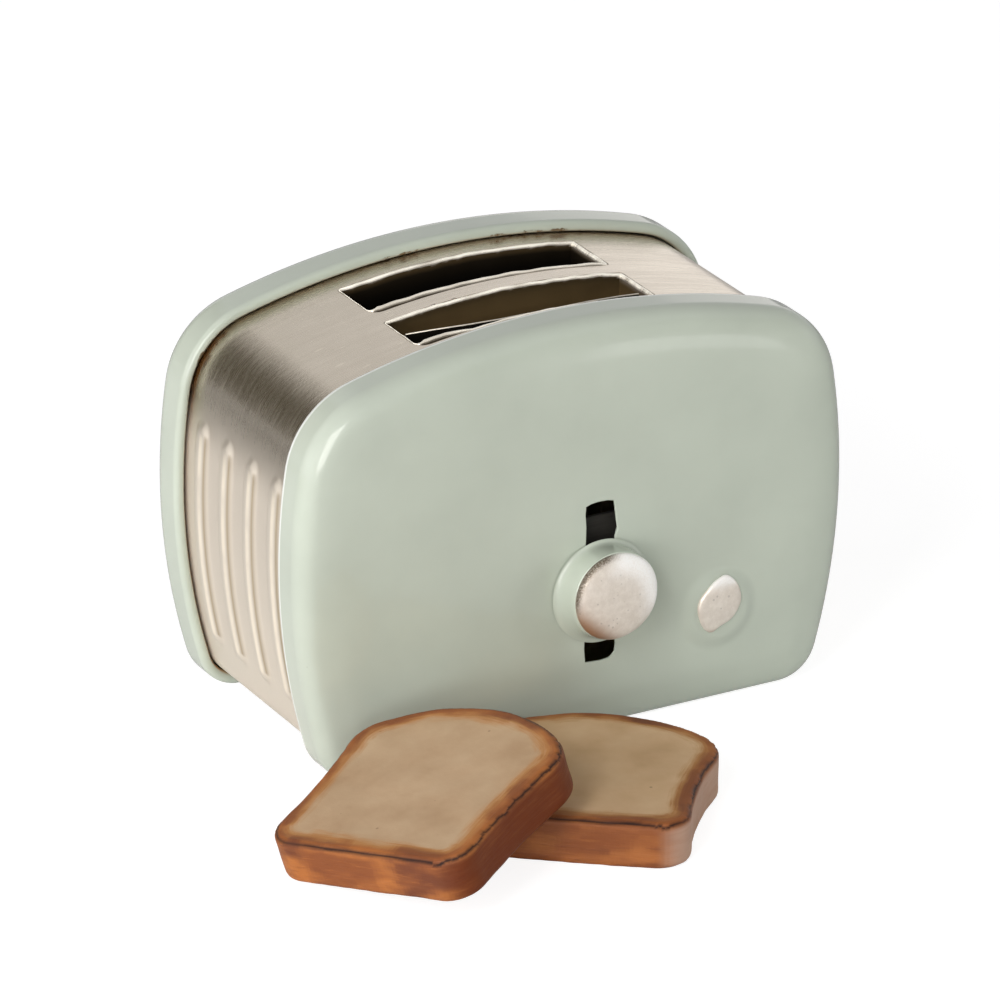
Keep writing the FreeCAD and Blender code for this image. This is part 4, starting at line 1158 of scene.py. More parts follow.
@dataclass
class Band:
    """The nickelled band: four ribs on each end, two bread slots with rolled lips."""

    outline: CoverOutline
    inset: float = 1.2 * MM
    sheet: float = 0.5 * MM
    spacing: float = 0.42 * MM
    rib_places: tuple[float, ...] = (-7.05 * MM, -2.35 * MM, 2.35 * MM, 7.05 * MM)
    rib_half_width: float = 1.15 * MM
    rib_rise: float = 0.48 * MM
    rib_bottom: float = 7.3 * MM
    rib_top: float = 26.3 * MM
    rib_rows: int = 7
    rib_spread: float = 1.35
    edge_rows: tuple[float, ...] = (9.4 * MM, 10.6 * MM)
    slot_centre: float = 4.37 * MM
    slot_shift: float = -0.2 * MM
    slot_half_length: float = 12.1 * MM
    slot_half_width: float = 3.4 * MM
    slot_corners: tuple[float, ...] = (0.6 * MM, 0.35 * MM, 0.3 * MM, 1.3 * MM)
    lip_profile: tuple[tuple[float, float], ...] = (
        (-0.05, -0.60), (-0.05, -0.12), (-0.07, -0.03), (-0.12, 0.03), (-0.19, 0.05),
        (-0.27, 0.03), (-0.34, -0.03), (-0.40, -0.11), (-0.44, -0.22), (-0.46, -0.38),
        (-0.48, -0.80), (-0.48, -2.00), (-0.46, -3.00), (-0.38, -3.12), (-0.24, -3.15),
        (-0.14, -3.00), (-0.08, -2.00), (-0.05, -1.00),
    )
    bead_profile: tuple[tuple[float, float], ...] = (
        (-0.22, -0.60), (-0.22, -0.14), (-0.24, 0.00), (-0.30, 0.11), (-0.39, 0.17),
        (-0.50, 0.18), (-0.60, 0.13), (-0.67, 0.04), (-0.70, -0.08), (-0.70, -0.30),
        (-0.66, -0.80), (-0.60, -1.40), (-0.55, -1.90), (-0.46, -2.02), (-0.32, -2.05),
        (-0.24, -1.95), (-0.21, -1.40), (-0.21, -1.00),
    )
    bead_shift: float = 0.38 * MM
    sway: float = 0.12 * MM
    drop: float = 0.07 * MM
    bend_end: float = 6.9
    well_edge: tuple[tuple[float, float], ...] = (
        (-11.6, -3.95), (-9.6, -4.75), (-6.3, -5.98), (-3.6, -6.62), (-0.6, -6.86), (2.3, -6.84),
        (5.5, -6.53), (8.8, -6.10), (10.9, -5.80),
    )
    well_section: tuple[tuple[float, float], ...] = (
        (-0.07, -0.36), (-0.07, -0.32), (-0.03, -0.26), (0.03, -0.26), (0.07, -0.32), (0.07, -0.36),
        (0.07, -1.6), (-0.07, -1.6),
    )
    masks: tuple[str, ...] = ("crest", "flank", "grime", "soot", "painted_deep_lightening", "bright", "matte")

    def __post_init__(self) -> None:
        """Reads the band's depth from the frame."""
        low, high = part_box("body_band")
        self.half_depth = (high.y - low.y) / 2
        self.crown = self.outline.crown_centre()
        self.crown_reach = self.outline.crown_radius - self.inset

    def rows(self) -> list[float]:
        """Gives the band's rows across its depth, close together over the ribs."""
        found = {0.0}
        for row in (*self.edge_rows, self.half_depth):
            found |= {-row, row}
        steps = self.rib_rows
        for place in self.rib_places:
            for step in range(-steps, steps + 1):
                found.add(place + step * self.rib_spread * self.rib_half_width / steps)
        return sorted(found)

    def crown_height(self, x: float) -> float:
        """Gives the height of the band's crown at a place along it."""
        return self.crown.y + math.sqrt(self.crown_reach**2 - x**2)

    def sheet_surface(self) -> bpy.types.Object:
        """Extrudes the band's outer face from the rear to the front and raises the ribs."""
        base = self.outline.sample(self.spacing)
        rings = []
        for row in self.rows():
            ring = []
            for point, normal in base:
                place = point - self.inset * normal
                rise = self.rib_height(place.y, row, abs(normal.x))
                place = place + rise * normal
                ring.append(Vector((place.x, row, place.y)))
            rings.append(ring)
        piece = loft("band_sheet", rings)
        with edit_mode(piece):
            bpy.ops.mesh.select_mode(type="FACE")
            mesh = bmesh.from_edit_mesh(piece.data)
            for face in mesh.faces:
                face.select_set(len(face.verts) > 4)
            bmesh.update_edit_mesh(piece.data)
            bpy.ops.mesh.delete(type="ONLY_FACE")
        apply_modifier(piece, "SOLIDIFY", thickness=self.sheet, offset=-1.0, use_even_offset=True)
        return piece

    def rib_height(self, height: float, row: float, sideways: float) -> float:
        """Gives how far the ribs raise the sheet at a point.

        Args:
            height: The point's height.
            row: The point's y.
            sideways: How squarely the sheet faces the end there, from 0 to 1.

        Returns:
            The rise, in metres.
        """
        if sideways < 0.5:
            return 0.0
        past = max(self.rib_bottom - height, height - self.rib_top, 0.0) * 0.9
        away = min(abs(row - place) for place in self.rib_places)
        distance = math.hypot(past, away) / self.rib_half_width
        if distance >= 1.3:
            return 0.0
        round_top = math.sqrt(max(0.0, 1.0 - min(distance, 0.92) ** 2))
        foot = 1.0 - ramp(distance, 0.7, 0.6)
        return self.rib_rise * round_top * foot * foot * (3.0 - 2.0 * foot)

    def slot_ring(self, grow: float, rise: float, side: float, count: int = 240) -> Ring:
        """Gives a ring round a bread slot, laid on the band's crown.

        Args:
            grow: How far outside the slot's edge the ring runs.
            rise: How far above the crown it runs.
            side: -1 for the front slot, 1 for the rear one.
            count: How many points.

        Returns:
            The points.
        """
        straights = (20, 80, 20, 80)
        per_corner = (count - sum(straights)) // 4
        radii = [max(0.08 * MM, corner + grow) for corner in self.slot_corners]
        corners = ((1, -1), (1, 1), (-1, 1), (-1, -1))
        half_length = self.slot_half_length + grow
        half_width = self.slot_half_width + grow
        centres = [
            Vector((sx * (half_length - radius), sy * (half_width - radius)))
            for (sx, sy), radius in zip(corners, radii)
        ]
        found = []
        for turn, (centre, radius, steps) in enumerate(zip(centres, radii, straights)):
            for step in range(per_corner):
                angle = math.pi / 2 * (turn - 1 + step / per_corner)
                found.append(centre + radius * Vector((math.cos(angle), math.sin(angle))))
            out = Vector((math.cos(math.pi / 2 * turn), math.sin(math.pi / 2 * turn)))
            after = centres[(turn + 1) % 4] + radii[(turn + 1) % 4] * out
            for step in range(steps):
                found.append((centre + radius * out).lerp(after, step / steps))
        ring = []
        for point in found:
            x = point.x + self.slot_shift
            height = self.crown_height(x) + rise
            ring.append(Vector((x, side * self.slot_centre + point.y, height)))
        return ring

    def lips(self, side: float) -> bpy.types.Object:
        """Makes one slot's lip: the sheet turns down, a little wavy, with a rolled near edge."""
        rings = []
        narrow = self.lip_profile[0][0]
        for (grow, rise), (bead_grow, bead_rise) in zip(self.lip_profile, self.bead_profile):
            plain = self.slot_ring(grow * MM, rise * MM, side)
            slim = self.slot_ring((0.3 * grow + 0.7 * narrow) * MM, rise * MM, side)
            rolled = self.slot_ring(bead_grow * MM, bead_rise * MM, side)
            ring = []
            for flat, thin, round_ in zip(plain, slim, rolled):
                along = (flat.x - self.slot_shift) / self.slot_half_length
                left_end = ramp(-along, 0.88, 0.09)
                share = self.rolled(flat, side)
                point = flat.lerp(thin, left_end).lerp(round_, share)
                point.y += self.bead_shift * share * (0.5 - 0.5 * along) ** 2
                sway = noise.noise(Vector((point.x / (2.6 * MM), side, 0.0)))
                drop = noise.noise(Vector((point.x / (1.5 * MM), 3.0 + side, point.y / (2.0 * MM))))
                point.y += self.sway * sway
                point.z += self.drop * drop
                ring.append(point)
            rings.append(ring)
        piece = loft("lip", rings, closed=True)
        self.mark_lip(piece, side)
        return piece

    def rolled(self, point: Vector, side: float) -> float:
        """Says how far the lip is rolled up at a point, from 0 to 1.

        Args:
            point: A point on the slot's edge.
            side: -1 for the front slot, 1 for the rear one.

        Returns:
            The most at the left of the near edge, and nothing on the others; at the rear slot
            a little less to the right, at the front slot nothing there.
        """
        across = (point.y - side * self.slot_centre) / self.slot_half_width
        along = (point.x - self.slot_shift) / self.slot_half_length
        inside = 1.0 - ramp(abs(along), 0.93, 0.07)
        near = ramp(-across, 0.6, 0.3)
        if side < 0.0:
            inside *= 1.0 - ramp(along, -0.75, 0.2)
        return near * (0.85 - 0.15 * along) * inside

    def write(self, piece: bpy.types.Object, **values: np.ndarray) -> None:
        """Stores all of the band's masks on a part of it; those not given are nothing."""
        nothing = np.zeros(len(piece.data.vertices))
        for name in self.masks:
            write_mask(piece, name, values.get(name, nothing))

    def mark_lip(self, piece: bpy.types.Object, side: float) -> None:
        """Writes a lip's painted highlight and glow on its bend, painted shade on its walls,
        painted black deep in the rear slot and painted lightening deep in the front one.
        """
        row = numbers(piece, "ring").astype(float)
        edge = self.slot_ring(0.0, 0.0, side)
        rough = [noise.noise(Vector((p.x / (0.7 * MM), p.y / (0.9 * MM), side))) for p in edge]
        patchy = [noise.noise(Vector((p.x / (2.4 * MM), p.y / MM, 5.0 + side))) for p in edge]
        near = [self.rolled(point, side) for point in edge]
        reach = [(point.x - self.slot_shift) / self.slot_half_length for point in edge]
        place = numbers(piece, "place")
        rough, patchy, near, reach = (np.array(v)[place] for v in (rough, patchy, near, reach))
        # Painted highlight and faint glow along the bend.
        right = smooth_step(reach, 0.95, 0.99)
        low = self.bend_end + 0.5 * rough * (1.0 - right) + 1.2 * right
        bend = smooth_step(row, 1.4, 3.0) * (1.0 - smooth_step(row, low - 0.9, low + 0.9))
        strength = np.clip(0.85 + 0.9 * patchy, 0.12, 1.0) * (1.0 - 0.55 * near)
        # Painted shade on the walls below the bend and under the lip's edge.
        inside = smooth_step(row, low, low + 1.2)
        outside = 1.0 - smooth_step(row, 0.8, 2.2)
        masks = {"bright": bend * strength, "grime": np.maximum(inside, outside)}
        # Painted black shadow deep in the rear slot; painted lightening deep in the front one.
        if side > 0.0:
            masks["soot"] = smooth_step(row, 9.3, 10.2)
        else:
            masks["painted_deep_lightening"] = smooth_step(row, 9.0, 12.0)
        self.write(piece, **masks)

    def well_rim(self) -> bpy.types.Object:
        """Makes the near edge of the front well's sheet, which shows inside the front slot."""
        rings = []
        for x, y in self.well_edge:
            top = self.crown_height(x * MM)
            ring = []
            for across, rise in self.well_section:
                ring.append(Vector((x * MM, (y + across) * MM, top + rise * MM)))
            rings.append(ring)
        piece = loft("well_rim", rings)
        corner = numbers(piece, "place")
        top = (corner > 0) & (corner < 5)
        # Painted highlight on the top of the rim, painted shade on its walls and painted black
        # shadow below.
        self.write(
            piece,
            bright=np.where(top, 0.22, 0.0),
            grime=np.where(top, 0.3, 1.0),
            soot=np.where(top, 0.0, 1.0),
        )
        return piece

    def mark(self, piece: bpy.types.Object) -> None:
        """Writes the ribs' painted crest highlights and painted flank shade, and the ends' duller
        finish with painted brightening.
        """
        points = coordinates(piece)
        past = np.maximum(self.rib_bottom - points[:, 2], points[:, 2] - self.rib_top)
        past = np.maximum(past, 0.0)
        reach = self.outline.length / 2
        ends = np.abs(points[:, 0]) > reach - 4.5 * MM

        def line(shift: float, width: float) -> np.ndarray:
            away = np.min([np.abs(points[:, 1] - place - shift) for place in self.rib_places], 0)
            return ends * (1.0 - smooth_step(np.hypot(away, past), 0.1 * width, width))

        sides = smooth_step(np.abs(points[:, 0]), reach - 6.5 * MM, reach - 3.5 * MM)
        high = smooth_step(-points[:, 2], -31.5 * MM, -24.0 * MM)
        low = smooth_step(-points[:, 2], -25.0 * MM, -9.0 * MM)
        # Painted highlight along the rib crests and painted shade beside them; painted light on the
        # ends below the shoulders, a little more towards the foot.
        self.write(
            piece,
            crest=line(-0.32 * MM, 0.42 * MM),
            flank=line(-0.92 * MM, 0.26 * MM),
            matte=sides * (0.8 * high + 0.2 * low),
        )

    def build(self, finish: bpy.types.Material) -> None:
        """Makes and settles the band."""
        piece = self.sheet_surface()
        for side in (-1.0, 1.0):
            rings = [self.slot_ring(0.0, rise, side) for rise in (-3.0 * MM, 3.0 * MM)]
            carve(piece, loft("slot_tool", rings))
        rings = [self.base_ring(level) for level in (-1.0 * MM, 2.5 * MM)]
        carve(piece, loft("base_tool", rings))
        self.mark(piece)
        whole = join([piece, self.lips(-1.0), self.lips(1.0), self.well_rim()], "band")
        write_vectors(whole, "lay", coordinates(whole)[:, [0, 2, 1]])
        settle(whole, Body.HOUSING, finish, ["body_band"])

    def base_ring(self, level: float) -> Ring:
        """Gives the opening in the band's underside, a little smaller than the base plate."""
        low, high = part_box("base_plate")
        margin = 2.0 * MM
        corner = 1.5 * MM
        inset = margin + corner
        steps = 6
        spots = ((high.x, low.y), (high.x, high.y), (low.x, high.y), (low.x, low.y))
        found = []
        for turn, (x, y) in enumerate(spots):
            centre = Vector((x - math.copysign(inset, x), y - math.copysign(inset, y)))
            for step in range(steps + 1):
                angle = math.pi / 2 * (turn - 1 + step / steps)
                spot = centre + corner * Vector((math.cos(angle), math.sin(angle)))
                found.append(Vector((spot.x, spot.y, level)))
        return found


# ---------------------------------------------------------------- lever and dial spot


@dataclass
class Lever:
    """The lever's knob: a mint collar that flares out to the face, and a painted cap."""

    collar_profile: tuple[tuple[float, float, float], ...] = (
        (1.6, 0.0, -0.40), (4.90, 0.0, -0.40), (4.94, 0.01, -0.40), (4.84, 0.04, -0.39),
        (4.70, 0.11, -0.36), (4.56, 0.24, -0.30), (4.44, 0.46, -0.22), (4.35, 0.82, -0.12),
        (4.28, 1.30, 0.0), (4.23, 1.85, 0.06), (4.20, 2.35, 0.10), (4.16, 2.55, 0.12),
        (4.05, 2.64, 0.12), (3.7, 2.66, 0.12), (1.0, 2.66, 0.12),
    )
    cap_profile: tuple[tuple[float, float, float], ...] = (
        (1.0, 2.30, 0.12), (3.85, 2.30, 0.12), (4.02, 2.40, 0.12), (4.10, 2.56, 0.12),
        (4.11, 2.74, 0.12), (4.05, 2.93, 0.13), (3.90, 3.10, 0.13), (3.62, 3.24, 0.14),
        (3.20, 3.34, 0.14), (2.60, 3.42, 0.14), (1.80, 3.47, 0.14), (0.8, 3.50, 0.14),
    )
    reach: float = 4.2 * MM
    count: int = 96

    def __post_init__(self) -> None:
        """Reads the knob's axis, foot and top from the frame."""
        low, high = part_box("lever_knob")
        self.axis = Vector(((low.x + high.x) / 2, (low.z + high.z) / 2))
        self.foot = high.y
        cap_low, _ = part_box("knob_cap")
        self.top = cap_low.y

    def turned(self, name: str, profile: Sequence[tuple[float, ...]]) -> bpy.types.Object:
        """Turns a profile about the knob's axis, which the hand fitting left a little askew.

        Args:
            name: The new object's name.
            profile: Radius, height and sideways lift of each ring.

        Returns:
            The turned piece.
        """
        whole = max(rise for _, rise, _ in self.cap_profile)
        stretch = (self.foot - self.top) / (whole * MM)
        rings = []
        for radius, rise, lift in profile:
            middle = self.axis + Vector((0.0, lift * MM))
            level = self.foot - rise * MM * stretch
            rings.append(circle(middle, radius * MM, level, self.count))
        return loft(name, rings)

    def build(self, collar_finish: bpy.types.Material, cap_finish: bpy.types.Material) -> None:
        """Makes and settles the collar and the cap."""
        collar = self.turned("knob_collar", self.collar_profile)
        for name in ("edge", "bare", "painted_rim_highlight"):
            write_mask(collar, name, np.zeros(len(collar.data.vertices)))
        settle(collar, Body.LEVER, collar_finish, ["lever_knob"])
        cap = self.turned("knob_button", self.cap_profile)
        points = coordinates(cap)
        normals = vertex_normals(cap)
        uneven = waver(points, 2.4 * MM, 5.2)[:, None] * 0.05 * MM
        set_coordinates(cap, points + normals * uneven)
        across = (points[:, 0] - self.axis.x) / self.reach
        up = (points[:, 2] - self.axis.y) / self.reach
        # Painted shade: brown on the cap's lower left and dark on its upper left rim; painted
        # highlight on its upper right.
        low_left = smooth_step(-0.66 * across - 0.75 * up, 0.5, 0.97)
        write_mask(cap, "lower_brown", 0.95 * low_left)
        away = np.hypot(across, up)
        high_left = smooth_step(-0.75 * across + 0.66 * up, 0.45, 0.85)
        write_mask(cap, "rim", high_left * smooth_step(away, 0.86, 0.97))
        high_right = smooth_step(0.75 * across + 0.66 * up, -0.1, 0.7)
        write_mask(cap, "shine", high_right * smooth_step(away, 0.3, 0.8) * (1.0 - high_left))
        settle(cap, Body.LEVER, cap_finish, ["knob_cap"])


@dataclass
class DialSpot:
    """The dab of metallic paint on the boss: a tilted, uneven lens."""

    outline: tuple[tuple[float, float], ...] = (
        (0.65, 3.30), (-0.40, 3.00), (-1.40, 2.25), (-2.15, 1.40), (-2.36, 0.40), (-2.05, -0.80),
        (-1.55, -1.65), (-0.90, -1.98), (-0.10, -1.60), (1.15, -1.05), (1.95, 0.00), (2.14, 1.05),
        (1.65, 2.40),
    )
    section: tuple[tuple[float, float], ...] = (
        (1.0, -0.12), (1.0, 0.0), (0.985, 0.08), (0.93, 0.17), (0.84, 0.24), (0.68, 0.30),
        (0.46, 0.34), (0.2, 0.36),
    )
    boss_top: float = -15.45 * MM
    count: int = 96

    def edge(self) -> list[Vector]:
        """Rounds the listed outline into a smooth closed curve."""
        points = [Vector(p) * MM for p in self.outline]
        total = len(points)
        found = []
        for step in range(self.count):
            place = step * total / self.count
            index = int(place)
            share = place - index
            a, b, c, d = (points[(index + k - 1) % total] for k in range(4))
            cubic = (
                2 * b
                + share * (c - a)
                + share**2 * (2 * a - 5 * b + 4 * c - d)
                + share**3 * (3 * b - a - 3 * c + d)
            )
            found.append(cubic / 2)
        return found

    def build(self, finish: bpy.types.Material) -> None:
        """Makes and settles the dab."""
        edge = self.edge()
        middle = sum(edge, Vector((0.0, 0.0))) / len(edge)
        rings = []
        for share, rise in self.section:
            ring = []
            for point in edge:
                spot = BOSS_CENTRE + middle + (point - middle) * share
                ring.append(Vector((spot.x, self.boss_top - rise * MM, spot.y)))
            rings.append(ring)
        piece = loft("dial_dab", rings)
        points = coordinates(piece)
        up = (points[:, 2] - BOSS_CENTRE.y - middle.y) / MM
        # The dab is browner along its lower edge; a painted highlight runs along its top.
        write_mask(piece, "lower_brown", 0.5 * smooth_step(-up, 2.0, 2.6))
        write_mask(piece, "rim", np.zeros(len(points)))
        write_mask(piece, "shine", 0.9 * smooth_step(up, 1.5, 2.3))
        settle(piece, Body.HOUSING, finish, ["dial_spot"])


# ---------------------------------------------------------------- toast


@dataclass
class Slice:
    """A slice of toy toast, cast with hollow sides and round ears and painted by hand."""

    name: str
    node: str
    body: Body
    place: Matrix
    seed: float
    foot_x: float = 7.4 * MM
    foot_y: float = -7.9 * MM
    foot_radius: float = 2.9 * MM
    ear_x: float = 6.5 * MM
    ear_y: float = 4.5 * MM
    ear_radius: float = 4.4 * MM
    hollow_radius: float = 38.0 * MM
    crown_radius: float = 14.8 * MM
    thickness: float = 4.4 * MM
    edge: float = 0.55 * MM
    grain: float = 0.2 * MM

    def outline(self) -> list[Vector]:
        """Gives the slice's outline in its own frame, anticlockwise from the right foot."""
        foot = Vector((self.foot_x, self.foot_y))
        ear = Vector((self.ear_x, self.ear_y))
        hollow = circles_meet(
            ear, self.hollow_radius + self.ear_radius, foot, self.hollow_radius + self.foot_radius
        )
        crown_reach = self.crown_radius - self.ear_radius
        crown = Vector((0.0, self.ear_y - math.sqrt(crown_reach**2 - self.ear_x**2)))
        foot_turn = angle_from(foot, hollow)
        ear_turn = angle_from(hollow, ear)
        brow = angle_from(crown, ear)
        right = [
            Arc(foot, self.foot_radius, -math.pi / 2, foot_turn),
            Arc(hollow, self.hollow_radius, foot_turn + math.pi, ear_turn % math.tau),
            Arc(ear, self.ear_radius, ear_turn - math.pi, brow),
        ]
        spacing = 0.35 * MM
        half = []
        for arc in right:
            half += [point for point, _ in arc.sample(spacing)]
        crown_arc = Arc(crown, self.crown_radius, brow, math.pi - brow)
        left = [Vector((-point.x, point.y)) for point in reversed(half)]
        base = [Vector((-self.foot_x + 2 * self.foot_x * s / 40, half[0].y)) for s in range(1, 40)]
        return half + [point for point, _ in crown_arc.sample(spacing)] + left + base

    def cast(self) -> bpy.types.Object:
        """Makes the plain slice: filled outline, extruded, bevelled and remeshed."""
        outline = self.outline()
        bpy.ops.mesh.primitive_circle_add(vertices=len(outline), radius=1.0, fill_type="NGON")
        piece = bpy.context.active_object
        piece.name = self.name
        for vertex, point in zip(piece.data.vertices, outline):
            vertex.co = (point.x, point.y, 0.0)
        upward = {"value": (0, 0, self.thickness)}
        with edit_mode(piece):
            bpy.ops.mesh.select_all(action="SELECT")
            bpy.ops.mesh.extrude_region_move(TRANSFORM_OT_translate=upward)
            bpy.ops.mesh.select_mode(type="EDGE")
            flat = math.radians(80.0)
            select_edges(piece, lambda e: e.is_manifold and e.calc_face_angle() > flat)
            bpy.ops.mesh.bevel(offset=self.edge, segments=5, profile=0.5)
            bpy.ops.mesh.select_all(action="SELECT")
            bpy.ops.mesh.normals_make_consistent(inside=False)
        apply_modifier(piece, "REMESH", mode="VOXEL", voxel_size=self.grain)
        return piece

    def sculpt(self, piece: bpy.types.Object) -> None:
        """Pushes the crease, with its notches, and the lumps into the slice and marks its paint."""
        edge = np.array([tuple(p) for p in self.outline()])
        points = coordinates(piece)
        normals = vertex_normals(piece)
        reach = np.empty(len(points))
        nearest = np.empty((len(points), 2))
        for rows in np.array_split(np.arange(len(points)), math.ceil(len(points) / 4000)):
            gaps = np.hypot(*(points[rows, None, :2] - edge[None, :, :]).transpose(2, 0, 1))
            reach[rows] = gaps.min(axis=1)
            nearest[rows] = edge[gaps.argmin(axis=1)]
        along = np.column_stack([nearest, np.zeros(len(points))])
        height = points[:, 2]
        drop = self.thickness - height
        unrolled = np.where(drop < 0.9 * self.edge, reach, -drop)
        wander = waver(along, 2.2 * MM, self.seed + 1.0)
        right = smooth_step(points[:, 0], 5.5 * MM, 8.0 * MM)
        notches = right * np.abs(waver(along, 0.9 * MM, self.seed + 6.0))
        seam = drop - (0.20 + 0.08 * wander + 0.35 * notches) * MM
        seam_near = np.exp(-((seam / (0.12 * MM)) ** 2)) * (reach < 0.6 * MM)
        strength = np.clip(0.85 + 0.5 * waver(along, 5.0 * MM, self.seed + 2.0), 0.45, 1.0)
        lumps = waver(points, 3.2 * MM, self.seed)
        small = waver(points, 1.1 * MM, self.seed + 4.0)
        on_side = smooth_step(drop, 0.3 * MM, 0.9 * MM)
        push = 0.07 * lumps + 0.03 * small * (0.35 + 0.65 * on_side)
        push -= 0.16 * seam_near * strength
        set_coordinates(piece, points + normals * (push * MM)[:, None])
        write_mask(piece, "inward", np.where(on_side > 0.5, -1.0, reach / MM))
        write_vectors(piece, "brush", np.column_stack([nearest, unrolled]))
        # Masks for the painted shade in the crease and for the side that takes the painted side
        # lighting.
        write_mask(piece, "painted_crease_shade", np.clip(seam_near * strength * 1.3, 0.0, 1.0))
        write_mask(piece, "turned", on_side * smooth_step(normals[:, 0], 0.05, 0.9))

    def build(self, finish: bpy.types.Material) -> None:
        """Makes, places and settles the slice."""
        piece = self.cast()
        self.sculpt(piece)
        piece.data.transform(self.place)
        points = coordinates(piece)
        points[:, 2] = np.maximum(points[:, 2], 0.0)
        set_coordinates(piece, points)
        settle(piece, self.body, finish, [self.node], math.radians(180.0))


# ---------------------------------------------------------------- works


@dataclass(frozen=True)
class Works:
    """The pieces inside, which keep their own meshes."""

    plain: tuple[str, ...] = ("base_plate", "bread_shelf", "carriage_plate")
    dark: tuple[str, ...] = ("front_bread_well", "rear_bread_well", "carriage_guide")
    rivets: tuple[str, ...] = (
        "base_rivets", "guide_rivets", "shelf_rivets", "cover_studs", "lever_pin",
    )
    springs: tuple[str, ...] = ("push_nuts", "spring_washer")

    def dress(self) -> None:
        """Gives each group its finish."""
        finishes = (
            # Painted shade: the base plate, shelf and carriage are near-black and not metallic,
            # standing in for the shade inside the slots.
            (self.plain, Tin("shade-dark tin", srgb(34, 31, 27), roughness=0.7, metallic=0.0)),
            (self.dark, Tin("dark tin", srgb(92, 80, 60), roughness=0.5)),
            (self.rivets, Tin("tin rivet", srgb(190, 182, 168), roughness=0.35)),
            (self.springs, Tin("spring steel", srgb(120, 120, 122), roughness=0.3)),
        )
        for nodes, tin in finishes:
            material = tin.material()
            for node in nodes:
                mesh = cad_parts[node].data
                mesh.materials.clear()
                mesh.materials.append(material)
                log.info("%s: %s", node, tin.name)


# ---------------------------------------------------------------- studio


@dataclass(frozen=True)
class Softbox:
    """A soft area lamp, placed by its direction from the toaster; reflections show the cards."""

    name: str
    azimuth: float
    elevation: float
    distance: float
    width: float
    height: float
    power: float
    colour: Colour = (1.0, 1.0, 1.0)

    def build(self, target: Vector) -> None:
        """Adds the lamp, turned to the target."""
        back = direction(self.azimuth, self.elevation)
        bpy.ops.object.light_add(type="AREA", location=target + back * self.distance)
        lamp = bpy.context.active_object
        lamp.name = self.name
        lamp.data.shape = "RECTANGLE"
        lamp.data.size = self.width
        lamp.data.size_y = self.height
        lamp.data.energy = self.power
        lamp.data.color = self.colour
        face_along(lamp, back)
        lamp.visible_glossy = False


def direction(azimuth: float, elevation: float) -> Vector:
    """Gives the unit vector from the toaster, azimuth 0 being straight in front of it."""
    around = math.radians(azimuth)
    up = math.radians(elevation)
    return Vector((math.sin(around) * math.cos(up), -math.cos(around) * math.cos(up), math.sin(up)))


def face_along(thing: bpy.types.Object, back: Vector) -> None:
    """Turns a lamp or card so that its back lies along a direction."""
    thing.rotation_mode = "QUATERNION"
    thing.rotation_quaternion = back.to_track_quat("Z", "Y")


@dataclass(frozen=True)
class Card:
    """A dark or bright card that shows only in reflections."""

    name: str
    azimuth: float
    elevation: float
    distance: float
    width: float
    height: float
    shade: Colour
    spin: float | None = None

    def paper(self) -> bpy.types.Material:
        """Makes the card's paper, which looks the same in any light."""
        material, graph, shader = new_material(self.name)
        values = {
            "Base Color": (0.0, 0.0, 0.0, 1.0),
            "Specular IOR Level": 0.0,
            "Emission Color": (*self.shade, 1.0),
            "Emission Strength": 1.0,
        }
        graph.feed(shader, values)
        return material

    def build(self, target: Vector) -> None:
        """Hangs the card, turned to the target, or lays it on the floor if it has a spin."""
        back = direction(self.azimuth, self.elevation)
        bpy.ops.mesh.primitive_plane_add(size=1.0, location=target + back * self.distance)
        card = bpy.context.active_object
        card.name = self.name
        card.scale = (self.width, self.height, 1.0)
        if self.spin is None:
            face_along(card, back)
        else:
            card.location.z = 1.0 * MM
            card.rotation_euler.z = math.radians(self.spin)
        card.data.materials.append(self.paper())
        card.visible_camera = False
        card.visible_diffuse = False
        card.visible_shadow = False


